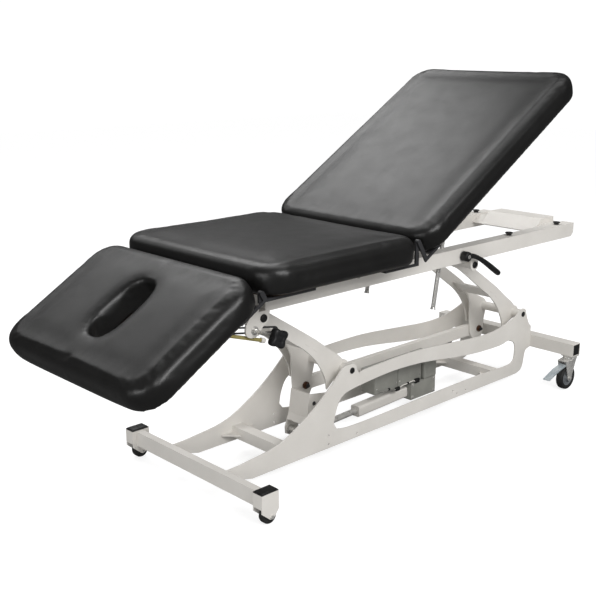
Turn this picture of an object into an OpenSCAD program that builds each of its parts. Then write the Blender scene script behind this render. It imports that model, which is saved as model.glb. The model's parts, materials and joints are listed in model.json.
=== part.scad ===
// Height-adjustable three-section treatment table. Lengths in mm, angles in degrees.
// The drawn pose is half raised, head section down and back section up.
// Own axes while drawing: x = 0 at the front crossbar's front face, z = 0 on the floor.

/* [Cushions] */
// Width of all three cushions
cushion_width = 711; // [600:1:760]
// Thickness of a cushion at its rim, base to shoulder
cushion_rim = 80; // [50:1:100]
// Rise of the crown above the rim
cushion_crown = 4; // [0:0.5:8]
// Rounding of the upper edge
edge_round = 28; // [10:1:36]
// How far the sides draw in at the base
side_draw = 10; // [2:1:20]
// Corner radius in plan
corner_round = 84; // [40:1:110]
// Length of the seat cushion
seat_length = 630; // [500:5:800]
// Length of the head cushion
head_length = 447; // [350:1:520]
// Length of the back cushion
back_length = 936; // [700:1:1100]
// Length of the face opening at the rim
face_long = 252; // [180:1:290]
// Width of the face opening at the rim
face_wide = 148; // [100:1:180]

/* [Pose] */
// Slope of the head section below level
head_drop = 31.4; // [0:0.1:60]
// Slope of the back section above level
back_rise = 31.2; // [0:0.1:61]
// Slope of the lifting arms above level
arm_rise = 32.6; // [10:0.1:62]

/* [Chassis] */
// Distance between front and rear pivots
pivot_spacing = 978; // [900:1:1050]
// Length of a lifting arm between pivots
arm_length = 531; // [450:1:600]
// Outer distance between the base plates
base_width = 275; // [220:1:320]
// Thickness of the base plates
plate_thick = 5; // [4:0.5:8]
// Width over the two front posts
post_span = 686; // [600:1:720]
// Side of the square tubes of rails and rear crossbar
tube_side = 50; // [40:1:60]
// Wall of the tubes
tube_wall = 3; // [2:0.5:4]
// Width over the two rails
rail_span = 441; // [400:1:480]

/* [Wheels] */
// Diameter of the rear caster wheels
wheel_dia = 98; // [75:1:125]
// Diameter of the front rollers
roller_dia = 50; // [40:1:60]

/* [Show] */
// Sub-part to show, or all

/* [Hidden] */
over = 1;                 // overrun of every cut
slip = 0.05;              // radial clearance of a shaft in its bore
gap = 0.5;                // side clearance between moving faces
touch = 0.3;              // clearance between sliding faces
fine = 40;
coarse = 24;
half_share = 0.5;
arm_drawn_rise = 32.6;    // slope at which the arm outlines are written

// x of the middle of the whole table in the drawn pose
centre_x = 662.9;

// pivots of the lift
base_pivot_x = 554;
base_pivot_z = 284;
top_pivot_x = base_pivot_x - arm_length * cos(arm_rise);
top_pivot_z = base_pivot_z + arm_length * sin(arm_rise);
// place of the front top pivot that the top frame's own places are written for
arm_drawn_length = 531;
deck_x = base_pivot_x - arm_drawn_length * cos(arm_drawn_rise);
deck_z = base_pivot_z + arm_drawn_length * sin(arm_drawn_rise);
shaft_dia = 16;
base_half = base_width * half_share;
arm_outer = 92;
arm_thick = 6;

// seat deck levels
rail_top = 641;
rail_height = 53;
rail_front_x = 118;
rail_rear_x = 1725;
rail_out = rail_span * half_share;
rail_in = rail_out - tube_side;
rail_bottom = rail_top - rail_height;
rail_round = 24;
bar_thick = 8;
board_thick = 7;
frame_over_rail = 12;
frame_low_z = rail_top + frame_over_rail;
board_low_z = frame_low_z + bar_thick;
cushion_low_z = board_low_z + board_thick;

// hinges of the head and back sections
head_hinge_x = 8.5;
head_hinge_up = 12;
head_hinge_z = cushion_low_z + head_hinge_up;
seat_front_x = 12;
seam_gap = 3;
back_hinge_x = seat_front_x + seat_length + seam_gap;
back_hinge_up = 62;
back_hinge_z = cushion_low_z + back_hinge_up;
back_start_x = back_hinge_x + seam_gap;
head_start_x = 7;
ear_inset = 33.5;
ear_seat_y = cushion_width * half_share - ear_inset;
ear_thick = 6;
ear_gap = 0.4;
ear_other_y = ear_seat_y + ear_thick + ear_gap;
ear_round = 7.5;
hinge_pin_dia = 7;
strap_wide = 40;
strap_narrow = 24;

// lengthwise members under the cushions
board_inset = 26;
frame_bar_inset = 24.5;
frame_bar_y = rail_out - frame_bar_inset;
frame_bar_wide = 40;

// colours, one per material
paint = [0.84, 0.81, 0.77];
vinyl = [0.035, 0.035, 0.038];
plastic_black = [0.05, 0.05, 0.052];
steel_dark = [0.16, 0.16, 0.17];
steel_zinc = [0.62, 0.63, 0.65];
zinc_yellow = [0.66, 0.58, 0.22];
box_grey = [0.60, 0.60, 0.56];
hub_grey = [0.45, 0.46, 0.47];
tyre_black = [0.06, 0.06, 0.06];
bush_brown = [0.30, 0.14, 0.06];
pedal_blue = [0.55, 0.62, 0.72];
board_brown = [0.30, 0.22, 0.15];

// Shared helpers

module placed() { translate([-centre_x, 0, 0]) children(); }
// the top frame keeps level and goes with the top pivots
module on_deck() placed() translate([top_pivot_x - deck_x, 0, top_pivot_z - deck_z]) children();

// a cylinder along y from y0 to y1
module bar_y(x, z, d, y0, y1, f = fine) {
  translate([x, y1, z]) rotate([90, 0, 0]) cylinder(h = y1 - y0, d = d, $fn = f);
}

// a block from one corner to the other
module block(a, b) { translate(a) cube(b - a); }

// a flat outline in x and z drawn as a sheet from y0 to y1
module sheet_y(points, y0, y1) {
  translate([0, y1, 0]) rotate([90, 0, 0]) linear_extrude(height = y1 - y0) polygon(points);
}

// the same on both sides of the table
module both_sides() { children(); mirror([0, 1, 0]) children(); }

// turned about a y axis through x, z; positive lifts the far (+x) end
module about(x, z, a) { translate([x, 0, z]) rotate([0, -a, 0]) translate([-x, 0, -z]) children(); }

// points on a smooth curve through a list of points
function mix4(p, q, r, s, t) = half_share * ((2 * q) + (r - p) * t
  + (2 * p - 5 * q + 4 * r - s) * t * t + (3 * q - p - 3 * r + s) * t * t * t);
function at(v, i) = v[max(0, min(len(v) - 1, i))];
function smooth(v, n) = [for (i = [0:len(v) - 2], k = [0:n - 1])
  mix4(at(v, i - 1), v[i], v[i + 1], at(v, i + 2), k / n), v[len(v) - 1]];
function arc(c, r, a0, a1, n) = [for (k = [0:n]) let (a = a0 + (a1 - a0) * k / n)
  c + r * [cos(a), sin(a)]];

// Cushions

corner_steps = 7;
corner_least = 6;
draw_share = 0.38;
// one level outline of a cushion: length l, width w, corner radius r, at height z
function level_ring(l, w, inset, z) = let (r = max(corner_round - inset, corner_least),
  hx = l * half_share - inset - r, hy = w * half_share - inset - r)
  [for (c = [0:3], k = [0:corner_steps]) let (a = 90 * c + 90 * k / corner_steps)
    [(c == 0 || c == 3 ? hx : -hx) + r * cos(a), (c < 2 ? hy : -hy) + r * sin(a), z]];

// inset and height of the levels from base to crown
base_level = 12;
belly_level = 34;
round_steps = 6;
crown_insets = [60, 120, 190];
crown_shares = [0.42, 0.78, 0.96];
function cushion_levels() = concat(
  [[side_draw, 0], [side_draw * draw_share, base_level], [0, belly_level]],
  [for (k = [0:round_steps]) let (a = 90 * k / round_steps)
    [edge_round * (1 - cos(a)), cushion_rim - edge_round * (1 - sin(a))]],
  [for (k = [0:2]) [crown_insets[k], cushion_rim + cushion_crown * crown_shares[k]]]);

// a crowned cushion centred on the origin in plan, base at z = 0
module crowned(l, w) {
  lv = cushion_levels();
  m = 4 * (corner_steps + 1);
  n = len(lv);
  pts = concat([for (v = lv) each level_ring(l, w, v[0], v[1])],
    [[0, 0, cushion_rim + cushion_crown]]);
  polyhedron(points = pts, faces = concat(
    [[for (k = [0:m - 1]) k]],
    [for (i = [0:n - 2], k = [0:m - 1]) let (j = (k + 1) % m)
      [i * m + k, (i + 1) * m + k, (i + 1) * m + j, i * m + j]],
    [for (k = [0:m - 1]) [(n - 1) * m + k, n * m, (n - 1) * m + (k + 1) % m]]));
}

// cutter of the face opening with a rolled upper edge
face_steps = 28;
face_power = 2.7;
face_roll = 16;
face_flare = 3.2;
face_roll_steps = 4;
face_centre_u = 218;
function lobe(v) = (v < 0 ? -1 : 1) * pow(abs(v), 2 / face_power);
function face_ring(out, z) = [for (k = [0:face_steps - 1]) let (a = 360 * k / face_steps)
  [(face_long * half_share - face_roll + out) * lobe(cos(a)),
   (face_wide * half_share - face_roll + out) * lobe(sin(a)), z]];
module face_cut() {
  top = cushion_rim + cushion_crown;
  lv = concat([[0, -over - bar_thick - board_thick], [0, top - face_roll]],
    [for (k = [1:face_roll_steps]) let (a = 90 * k / face_roll_steps)
      [face_roll * (1 - cos(a)), top - face_roll * (1 - sin(a))]],
    [[face_roll + face_flare, top + over]]);
  m = face_steps;
  n = len(lv);
  polyhedron(points = [for (v = lv) each face_ring(v[0], v[1])], faces = concat(
    [[for (k = [0:m - 1]) k]],
    [[for (k = [m - 1:-1:0]) (n - 1) * m + k]],
    [for (i = [0:n - 2], k = [0:m - 1]) let (j = (k + 1) % m)
      [i * m + k, (i + 1) * m + k, (i + 1) * m + j, i * m + j]]));
}

// a flat board with round corners, inset from the cushion
module board(l, w, z0, z1) {
  r = corner_round - board_inset;
  translate([0, 0, z0]) linear_extrude(height = z1 - z0) offset(r = r, $fn = coarse)
    square([l - 2 * (board_inset + r), w - 2 * (board_inset + r)], center = true);
}

module seat_cushion() color(vinyl) on_deck()
  translate([seat_front_x + seat_length * half_share, 0, cushion_low_z])
    crowned(seat_length, cushion_width);

module seat_board() color(board_brown) on_deck()
  translate([seat_front_x + seat_length * half_share, 0, 0])
    board(seat_length, cushion_width, board_low_z, cushion_low_z);

module head_turned() { about(head_hinge_x, head_hinge_z, head_drop) children(); }
module back_turned() { about(back_hinge_x, back_hinge_z, back_rise) children(); }

module head_cushion() color(vinyl) on_deck() head_turned() difference() {
  translate([head_start_x - head_length * half_share, 0, cushion_low_z])
    crowned(head_length, cushion_width);
  translate([head_hinge_x - face_centre_u, 0, cushion_low_z]) face_cut();
}

module head_board() color(board_brown) on_deck() head_turned() difference() {
  translate([head_start_x - head_length * half_share, 0, 0])
    board(head_length, cushion_width, board_low_z, cushion_low_z);
  translate([head_hinge_x - face_centre_u, 0, cushion_low_z]) face_cut();
}

module back_cushion() color(vinyl) on_deck() back_turned()
  translate([back_start_x + back_length * half_share, 0, cushion_low_z])
    crowned(back_length, cushion_width);

module back_board() color(board_brown) on_deck() back_turned()
  translate([back_start_x + back_length * half_share, 0, 0])
    board(back_length, cushion_width, board_low_z, cushion_low_z);

// Hinge ironwork and frames under the cushions

// an ear in the x-z plane: round eye at the pin, shank down to z0
module ear(x, z, z0, y0, y1, x0, x1) {
  hull() {
    bar_y(x, z, 2 * ear_round, y0, y1, coarse);
    block([x0, y0, z0], [x1, y1, z0 + bar_thick]);
  }
}

// seat: two cross bars over the rails and end straps with the fixed ears
seat_bar_insets = [158, 142];
seat_bar_xs = [seat_front_x + seat_bar_insets[0], seat_front_x + seat_length - seat_bar_insets[1]];
strap_back = 30;
module seat_bars() color(steel_dark) on_deck() difference() {
  union() {
    for (x = seat_bar_xs)
      block([x, -rail_out, rail_top], [x + strap_wide, rail_out, board_low_z]);
    both_sides() {
      block([head_hinge_x + strap_back, ear_seat_y - strap_narrow, frame_low_z],
        [seat_bar_xs[0], ear_seat_y + ear_thick, board_low_z]);
      block([head_hinge_x, ear_seat_y, frame_low_z],
        [head_hinge_x + strap_back + over, ear_seat_y + ear_thick, board_low_z]);
      block([back_hinge_x - strap_back - over, ear_seat_y, frame_low_z],
        [back_hinge_x, ear_seat_y + ear_thick, board_low_z]);
      block([seat_bar_xs[0] - over, rail_out - over, frame_low_z],
        [seat_bar_xs[0] + strap_wide, ear_seat_y + ear_thick, board_low_z]);
      block([seat_bar_xs[1], rail_out - over, frame_low_z],
        [seat_bar_xs[1] + strap_wide, ear_seat_y + ear_thick, board_low_z]);
      block([seat_bar_xs[1] + strap_wide - over, ear_seat_y - strap_narrow, frame_low_z],
        [back_hinge_x - strap_back, ear_seat_y + ear_thick, board_low_z]);
      ear(head_hinge_x, head_hinge_z, frame_low_z, ear_seat_y, ear_seat_y + ear_thick,
        head_hinge_x - ear_round, head_hinge_x + ear_round);
      ear(back_hinge_x, back_hinge_z, frame_low_z, ear_seat_y, ear_seat_y + ear_thick,
        back_hinge_x - ear_round, back_hinge_x + ear_round);
    }
  }
  both_sides() {
    bar_y(head_hinge_x, head_hinge_z, hinge_pin_dia + 2 * slip, ear_seat_y - over,
      ear_seat_y + ear_thick + over);
    bar_y(back_hinge_x, back_hinge_z, hinge_pin_dia + 2 * slip, ear_seat_y - over,
      ear_seat_y + ear_thick + over);
  }
}

// a moving ear with its pin, drawn level
pin_in = 3;
module pinned_ear(x, z, x0, x1) {
  ear(x, z, frame_low_z, ear_other_y, ear_other_y + ear_thick, x0, x1);
  bar_y(x, z, hinge_pin_dia, ear_seat_y - pin_in, ear_other_y + over);
}

// head: two lengthwise bars, two cross bars, end straps with ears
head_bar_out = 150;
head_cross_us = [60, 372];
link_inset = 8.8;
head_link_y = rail_span * half_share - link_inset;
link_thick = 5;
strut_pivot_dx = -110.5;
strut_pivot_dz = -108.7;
strut_pin_dia = 10;
strut_ear_thick = 5;
strut_ear_wide = 26;
strut_boss_dia = 20.8;
strut_slot_half = 16;
// the strut pivot seen in the level head section
strut_level_x = head_hinge_x + strut_pivot_dx * cos(head_drop) + strut_pivot_dz * sin(head_drop);
strut_level_z = head_hinge_z - strut_pivot_dx * sin(head_drop) + strut_pivot_dz * cos(head_drop);
module head_frame() color(steel_dark) on_deck() head_turned() {
  both_sides() {
    block([head_hinge_x - head_cross_us[1] - strap_wide, head_bar_out, frame_low_z],
      [head_hinge_x - head_cross_us[0] + over, head_bar_out + frame_bar_wide, board_low_z]);
    block([head_hinge_x - head_cross_us[0] - strap_wide, ear_other_y - strap_narrow, frame_low_z],
      [head_hinge_x - strap_back, ear_other_y + ear_thick, board_low_z]);
    block([head_hinge_x - strap_back - over, ear_other_y, frame_low_z],
      [head_hinge_x, ear_other_y + ear_thick, board_low_z]);
    pinned_ear(head_hinge_x, head_hinge_z, head_hinge_x - ear_round,
      head_hinge_x + ear_round - over);
  }
  for (u = head_cross_us)
    block([head_hinge_x - u - strap_wide, u == head_cross_us[0] ? -ear_other_y : -head_bar_out - over,
      frame_low_z], [head_hinge_x - u, u == head_cross_us[0] ? ear_other_y : head_bar_out + over,
      board_low_z]);
  // pair of ears for the clamp strut, near side
  for (s = [-1, 1]) difference() {
    hull() {
      bar_y(strut_level_x, strut_level_z, strut_boss_dia,
        -head_link_y + s * (link_thick + gap) - strut_ear_thick * half_share,
        -head_link_y + s * (link_thick + gap) + strut_ear_thick * half_share, coarse);
      block([strut_level_x - strut_ear_wide, -head_link_y + s * (link_thick + gap)
        - strut_ear_thick * half_share, frame_low_z], [strut_level_x + strut_ear_wide,
        -head_link_y + s * (link_thick + gap) + strut_ear_thick * half_share, board_low_z]);
    }
    bar_y(strut_level_x, strut_level_z, strut_pin_dia + 2 * slip, -head_link_y - tube_side,
      -head_link_y + tube_side);
  }
  difference() {
    block([strut_level_x - strut_ear_wide, -head_link_y - strut_ear_wide, frame_low_z],
      [strut_level_x + strut_ear_wide, -head_bar_out, board_low_z]);
    block([strut_level_x - strut_slot_half, -head_link_y - link_thick * half_share - gap,
      frame_low_z - over], [strut_level_x + strut_slot_half,
      -head_link_y + link_thick * half_share + gap, board_low_z + over]);
  }
}

// back: lengthwise bars on the bumpers, cross bars, ears, lugs of the prop rods
back_cross_offsets = [75, 655];
back_end_inset = 21;
back_bar_end = back_start_x + back_length - back_end_inset - strap_wide + over;
// the prop rods pass in front of the rear shaft, their eyes hang under the back frame
rod_before_shaft = 73.36;
rod_eye_drop = 84.03;
rod_pivot_x = deck_x + pivot_spacing - rod_before_shaft;
rod_level_along = (rod_pivot_x - back_hinge_x - rod_eye_drop * sin(back_rise)) / cos(back_rise);
rod_pivot_z = back_hinge_z + rod_level_along * sin(back_rise) - rod_eye_drop * cos(back_rise);
rod_pivot_level_x = back_hinge_x + rod_level_along;
rod_pivot_level_z = back_hinge_z - rod_eye_drop;
rod_beside_rail = 10.5;
rod_y = rail_in - rod_beside_rail;
rod_dia = 15;
rod_eye_wide = 10;
rod_lug_thick = 4;
rod_pin_dia = 10;
rod_eye_dia = 24;
rod_boss_dia = 22;
rod_window_half = 14;
rod_base_margin = 2;
// the middle cross bar clears the window of the rod lugs
back_cross_xs = concat([for (c = back_cross_offsets) back_hinge_x + c],
  [rod_pivot_level_x + rod_window_half + over, back_bar_end - over]);
module back_frame() color(steel_dark) on_deck() back_turned() {
  both_sides() {
    block([back_cross_xs[0], frame_bar_y - frame_bar_wide * half_share, frame_low_z],
      [back_bar_end, frame_bar_y + frame_bar_wide * half_share, board_low_z]);
    block([back_hinge_x + strap_back, ear_other_y - strap_narrow, frame_low_z],
      [back_cross_xs[0] + over, ear_other_y + ear_thick, board_low_z]);
    block([back_hinge_x, ear_other_y, frame_low_z],
      [back_hinge_x + strap_back + over, ear_other_y + ear_thick, board_low_z]);
    pinned_ear(back_hinge_x, back_hinge_z, back_hinge_x - ear_round + over,
      back_hinge_x + ear_round);
    for (s = [-1, 1]) difference() {
      hull() {
        bar_y(rod_pivot_level_x, rod_pivot_level_z, rod_boss_dia,
          rod_y + s * (rod_eye_wide + rod_lug_thick + 2 * gap) * half_share
            - rod_lug_thick * half_share,
          rod_y + s * (rod_eye_wide + rod_lug_thick + 2 * gap) * half_share
            + rod_lug_thick * half_share, coarse);
        block([rod_pivot_level_x - rod_eye_dia, rod_y + s * (rod_eye_wide + rod_lug_thick + 2 * gap)
          * half_share - rod_lug_thick * half_share, frame_low_z],
          [rod_pivot_level_x + rod_eye_dia, rod_y + s * (rod_eye_wide + rod_lug_thick + 2 * gap)
          * half_share + rod_lug_thick * half_share, board_low_z]);
      }
      bar_y(rod_pivot_level_x, rod_pivot_level_z, rod_pin_dia + 2 * slip, rod_y - tube_side,
        rod_y + tube_side);
    }
    difference() {
      block([rod_pivot_level_x - rod_eye_dia - rod_base_margin, rod_y - rod_eye_dia, frame_low_z],
        [rod_pivot_level_x + rod_eye_dia + rod_base_margin, frame_bar_y, board_low_z]);
      block([rod_pivot_level_x - rod_window_half, rod_y - rod_eye_wide * half_share - gap,
        frame_low_z - over], [rod_pivot_level_x + rod_window_half,
        rod_y + rod_eye_wide * half_share + gap, board_low_z + over]);
    }
  }
  for (x = back_cross_xs)
    block([x, x == back_cross_xs[0] ? -ear_other_y : -frame_bar_y, frame_low_z],
      [x + strap_wide, x == back_cross_xs[0] ? ear_other_y : frame_bar_y, board_low_z]);
}

// Top frame

// a rail: rectangular tube with a rounded lower rear corner
module rail_side() {
  difference() {
    sheet_y(concat([[rail_front_x, rail_top], [rail_front_x, rail_bottom]],
      arc([rail_rear_x - rail_round, rail_bottom + rail_round], rail_round, -90, 0, 8),
      [[rail_rear_x, rail_top]]), rail_in, rail_out);
    sheet_y([[rail_front_x + tube_wall, rail_top - tube_wall],
      [rail_front_x + tube_wall, rail_bottom + tube_wall],
      [rail_rear_x - rail_round, rail_bottom + tube_wall],
      [rail_rear_x - tube_wall, rail_bottom + rail_round],
      [rail_rear_x - tube_wall, rail_top - tube_wall]], rail_in + tube_wall, rail_out - tube_wall);
    bar_y(lever_screw_x, lever_screw_z, lever_screw_dia + 2 * slip, rail_in - over,
      rail_out + over);
  }
}
lever_screw_x = 1015;
lever_below_top = 28;
lever_screw_z = rail_top - lever_below_top;
lever_screw_dia = 12;
module rail_near() color(paint) on_deck() mirror([0, 1, 0]) rail_side();
module rail_far() color(paint) on_deck() rail_side();

cross_member_depth = 30;
// arch that clears the tops of the arms
arch_side = 6;
arch_tall = 14;
module front_cross_member() color(paint) on_deck() difference() {
  block([rail_front_x - cross_member_depth, -rail_out, rail_bottom],
    [rail_front_x, rail_out, rail_top]);
  block([rail_front_x - cross_member_depth + tube_wall, -rail_out - over, rail_bottom + tube_wall],
    [rail_front_x - tube_wall, rail_out + over, rail_top - tube_wall]);
  block([rail_front_x - cross_member_depth - over, -arm_outer - arch_side, rail_bottom - over],
    [rail_front_x + over, arm_outer + arch_side, rail_bottom + arch_tall]);
}

// folded sheet between the rails at the rear with a raised flat top
sheet_thick = 4;
cross_low_x = 1586;
cross_drop = 35;
cross_low_z = rail_top - cross_drop;
cross_stand = 15;
cross_rise_z = rail_top + cross_stand;
flange_x = 1640;
flange_end_x = 1722;
flange_half = 128;
fold_in = 2;
fold_back = 4;
shelf_step = 8;
module rear_cross_plate() color(paint) on_deck() {
  sheet_y([[cross_low_x, cross_low_z], [flange_x, cross_rise_z - sheet_thick],
    [flange_end_x, cross_rise_z - sheet_thick], [flange_end_x, cross_rise_z],
    [flange_x - fold_in, cross_rise_z], [cross_low_x - fold_back, cross_low_z + sheet_thick]],
    -flange_half, flange_half);
  both_sides() sheet_y([[cross_low_x, cross_low_z], [flange_x, rail_top - shelf_step],
    [flange_end_x, rail_top - shelf_step], [flange_end_x, rail_top - shelf_step + sheet_thick],
    [flange_x - fold_in, rail_top - shelf_step + sheet_thick],
    [cross_low_x - fold_back, cross_low_z + sheet_thick]], flange_half - over, rail_in);
  both_sides() sheet_y([[cross_low_x + fold_back, cross_low_z + fold_in],
    [flange_x, rail_top - shelf_step - fold_in], [flange_end_x, rail_top - shelf_step - fold_in],
    [flange_end_x, cross_rise_z - over], [flange_x, cross_rise_z - over]],
    flange_half - sheet_thick, flange_half);
}

// lugs that carry the upper arm pivots, welded under the rails
lug_thick = 6;
lug_round = 21;
lug_in = rail_out - lug_thick;
module lug_outline(x) {
  difference() {
    union() {
      bar_y(x, deck_z, 2 * lug_round, lug_in, rail_out);
      block([x - lug_round, lug_in, deck_z], [x + lug_round, rail_out, rail_bottom]);
    }
    block([x - 2 * lug_round, lug_in - over, rail_bottom], [x + 2 * lug_round, rail_out + over,
      rail_top]);
  }
}
module bored_lug(x) difference() {
  union() children();
  bar_y(x, deck_z, shaft_dia + 2 * slip, -rail_out - over, -lug_in + over);
  bar_y(x, deck_z, shaft_dia + 2 * slip, lug_in - over, rail_out + over);
}
module pivot_lugs() color(paint) on_deck() {
  bored_lug(deck_x) lug_outline(deck_x);
  bored_lug(deck_x + pivot_spacing) both_sides() lug_outline(deck_x + pivot_spacing);
}

// front near lug with a lobe forward and down for the head clamp screw
clamp_x = 74;
clamp_z = 539.5;
clamp_screw_dia = 10;
// outline from the clamp screw: x and z offsets
clamp_lobe = [[57, 48.5], [14, 48.5], [14, 72.5], [3, 68.5], [-18, 39.5], [-30, 22.5],
  [-33, 5.5], [-31, -7.5], [-24, -15.5], [-14, -19.5], [-2, -20.5], [14, -17.5], [22, -7.5],
  [30, 5.5], [44, 11.5], [53, 22.5], [55, 35.5]];
module clamp_lug() color(paint) on_deck() difference() {
  translate([clamp_x, 0, clamp_z]) sheet_y(clamp_lobe, -rail_out, -lug_in);
  bar_y(deck_x, deck_z, shaft_dia + 2 * slip, -rail_out - over, -lug_in + over);
  bar_y(clamp_x, clamp_z, clamp_screw_dia + 2 * slip, -rail_out - over, -lug_in + over);
}

// shafts of the upper pivots and their black caps
cap_dia = 24;
cap_thick = 6;
module upper_shafts() color(steel_zinc) on_deck()
  for (x = [deck_x, deck_x + pivot_spacing])
    bar_y(x, deck_z, shaft_dia, -rail_out, rail_out);
module upper_caps() color(plastic_black) on_deck()
  for (x = [deck_x, deck_x + pivot_spacing]) both_sides()
    bar_y(x, deck_z, cap_dia, rail_out, rail_out + cap_thick, coarse);

// rubber bumpers on the rails
bumper_xs = [1320, 1638];
bumper_gaps = [touch, over];
bumper_low_dia = 18;
bumper_top_dia = 30;
module bumpers() color(plastic_black) on_deck() for (k = [0:1]) both_sides()
  translate([bumper_xs[k], frame_bar_y, rail_top]) cylinder(h = frame_low_z - rail_top - bumper_gaps[k],
    d1 = bumper_low_dia, d2 = bumper_top_dia, $fn = coarse);

// Head clamp

knob_stand = 85.5;
knob_thick = 26;
knob_in_y = rail_out + knob_stand;
knob_out_y = knob_in_y + knob_thick;
knob_lobes = 4;
clamp_nut_thick = 6;
clamp_nut_dia = 18;
clamp_sleeve_dia = 16;
knob_core_dia = 44.6;
knob_lobe_dia = 24.8;
knob_lobe_out = 18.6;
knob_lobe_turn = 20;
knob_step = 2;
slot_slack = 1;
lever_hub_in = 3 * touch;
link_wide = 20;
slot_wide = clamp_screw_dia + slot_slack;
module head_screw() color(steel_zinc) on_deck() {
  bar_y(clamp_x, clamp_z, clamp_screw_dia, -knob_in_y, -head_link_y + link_thick);
  bar_y(clamp_x, clamp_z, clamp_nut_dia, -head_link_y + link_thick,
    -head_link_y + link_thick + clamp_nut_thick, 6);
}
module head_knob() color(plastic_black) on_deck() difference() {
  union() {
    bar_y(clamp_x, clamp_z, clamp_sleeve_dia, -knob_in_y + over, -rail_out - lever_hub_in);
    bar_y(clamp_x, clamp_z, knob_core_dia, -knob_out_y, -knob_in_y);
    for (k = [0:knob_lobes - 1]) let (a = 360 * k / knob_lobes + knob_lobe_turn)
      bar_y(clamp_x + knob_lobe_out * cos(a), clamp_z + knob_lobe_out * sin(a), knob_lobe_dia,
        -knob_out_y + knob_step, -knob_in_y);
  }
  bar_y(clamp_x, clamp_z, clamp_screw_dia, -knob_in_y, -rail_out + tube_side);
}

// slotted link of the strut and the plated rod beside it
strut_x = head_hinge_x + strut_pivot_dx;
strut_z = head_hinge_z + strut_pivot_dz;
strut_slope = atan2(clamp_z - strut_z, clamp_x - strut_x);
link_slot_from = 88;
link_slot_to = 252;
link_end = 262;
strut_rod_dia = 11;
rod_beside = 6.5;
rod_y_head = head_link_y - rod_beside;
module strut_frame() { translate([strut_x, 0, strut_z]) rotate([0, -strut_slope, 0]) children(); }
module head_link() color(steel_dark) on_deck() {
  strut_frame() difference() {
    hull() {
      bar_y(0, 0, link_wide, -head_link_y - link_thick * half_share,
        -head_link_y + link_thick * half_share, coarse);
      bar_y(link_end, 0, link_wide, -head_link_y - link_thick * half_share,
        -head_link_y + link_thick * half_share, coarse);
    }
    hull() {
      bar_y(link_slot_from, 0, slot_wide, -head_link_y - link_thick, -head_link_y + link_thick);
      bar_y(link_slot_to, 0, slot_wide, -head_link_y - link_thick, -head_link_y + link_thick);
    }
  }
  strut_frame() bar_y(0, 0, strut_pin_dia, -head_link_y - link_thick - strut_ear_thick,
    -head_link_y + link_thick + strut_ear_thick);
}
head_rod_from = [-140, 18.5];
head_rod_to = [47, -42.5];
module head_rod() color(zinc_yellow) on_deck() {
  d = head_rod_to - head_rod_from;
  translate([clamp_x + head_rod_from[0], -rod_y_head, clamp_z + head_rod_from[1]])
    rotate([0, 90 - atan2(d[1], d[0]), 0]) cylinder(h = norm(d), d = strut_rod_dia, $fn = coarse);
}

// Prop rods and clamp of the back section

rod_slope = 10.1;
rod_low_z = 424.36;
rod_length = (rod_pivot_z - rod_low_z) / cos(rod_slope);
rod_tip_dia = 20;
rod_tip_long = 8;
// each rod has a neck narrower than its eye, which turns between the lugs
rod_neck_dia = 9;
rod_neck_long = 15;
module prop_rods() color(steel_zinc) on_deck() both_sides() {
  translate([rod_pivot_x, rod_y, rod_pivot_z]) rotate([0, 180 + rod_slope, 0]) {
    cylinder(h = rod_neck_long + over, d = rod_neck_dia, $fn = coarse);
    translate([0, 0, rod_neck_long]) cylinder(h = rod_length - rod_neck_long, d = rod_dia,
      $fn = coarse);
    translate([0, 0, rod_length - rod_tip_long]) cylinder(h = rod_tip_long, d1 = rod_dia,
      d2 = rod_tip_dia, $fn = coarse);
    rotate([90, 0, 0]) translate([0, 0, -rod_eye_wide * half_share])
      cylinder(h = rod_eye_wide, d = rod_boss_dia, $fn = coarse);
  }
  bar_y(rod_pivot_x, rod_pivot_z, rod_pin_dia, rod_y - rod_eye_wide * half_share - rod_lug_thick,
    rod_y + rod_eye_wide * half_share + rod_lug_thick);
}

collar_long = 30;
collar_dia = 2 * (rail_in - rod_y - touch);
collar_below_top = 29.59;
collar_z = rail_top - collar_below_top;
collar_along = (rod_pivot_z - collar_z) / cos(rod_slope);
collar_flat = 26;
module collars() color(steel_dark) on_deck() both_sides()
  translate([rod_pivot_x, rod_y, rod_pivot_z]) rotate([0, 180 + rod_slope, 0])
    translate([0, 0, collar_along - collar_long * half_share]) difference() {
      translate([-collar_flat * half_share, -collar_flat + collar_dia * half_share, 0])
        cube([collar_flat, collar_flat, collar_long]);
      translate([0, 0, -over]) cylinder(h = collar_long + 2 * over, d = rod_dia + 2 * slip,
        $fn = fine);
    }

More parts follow.
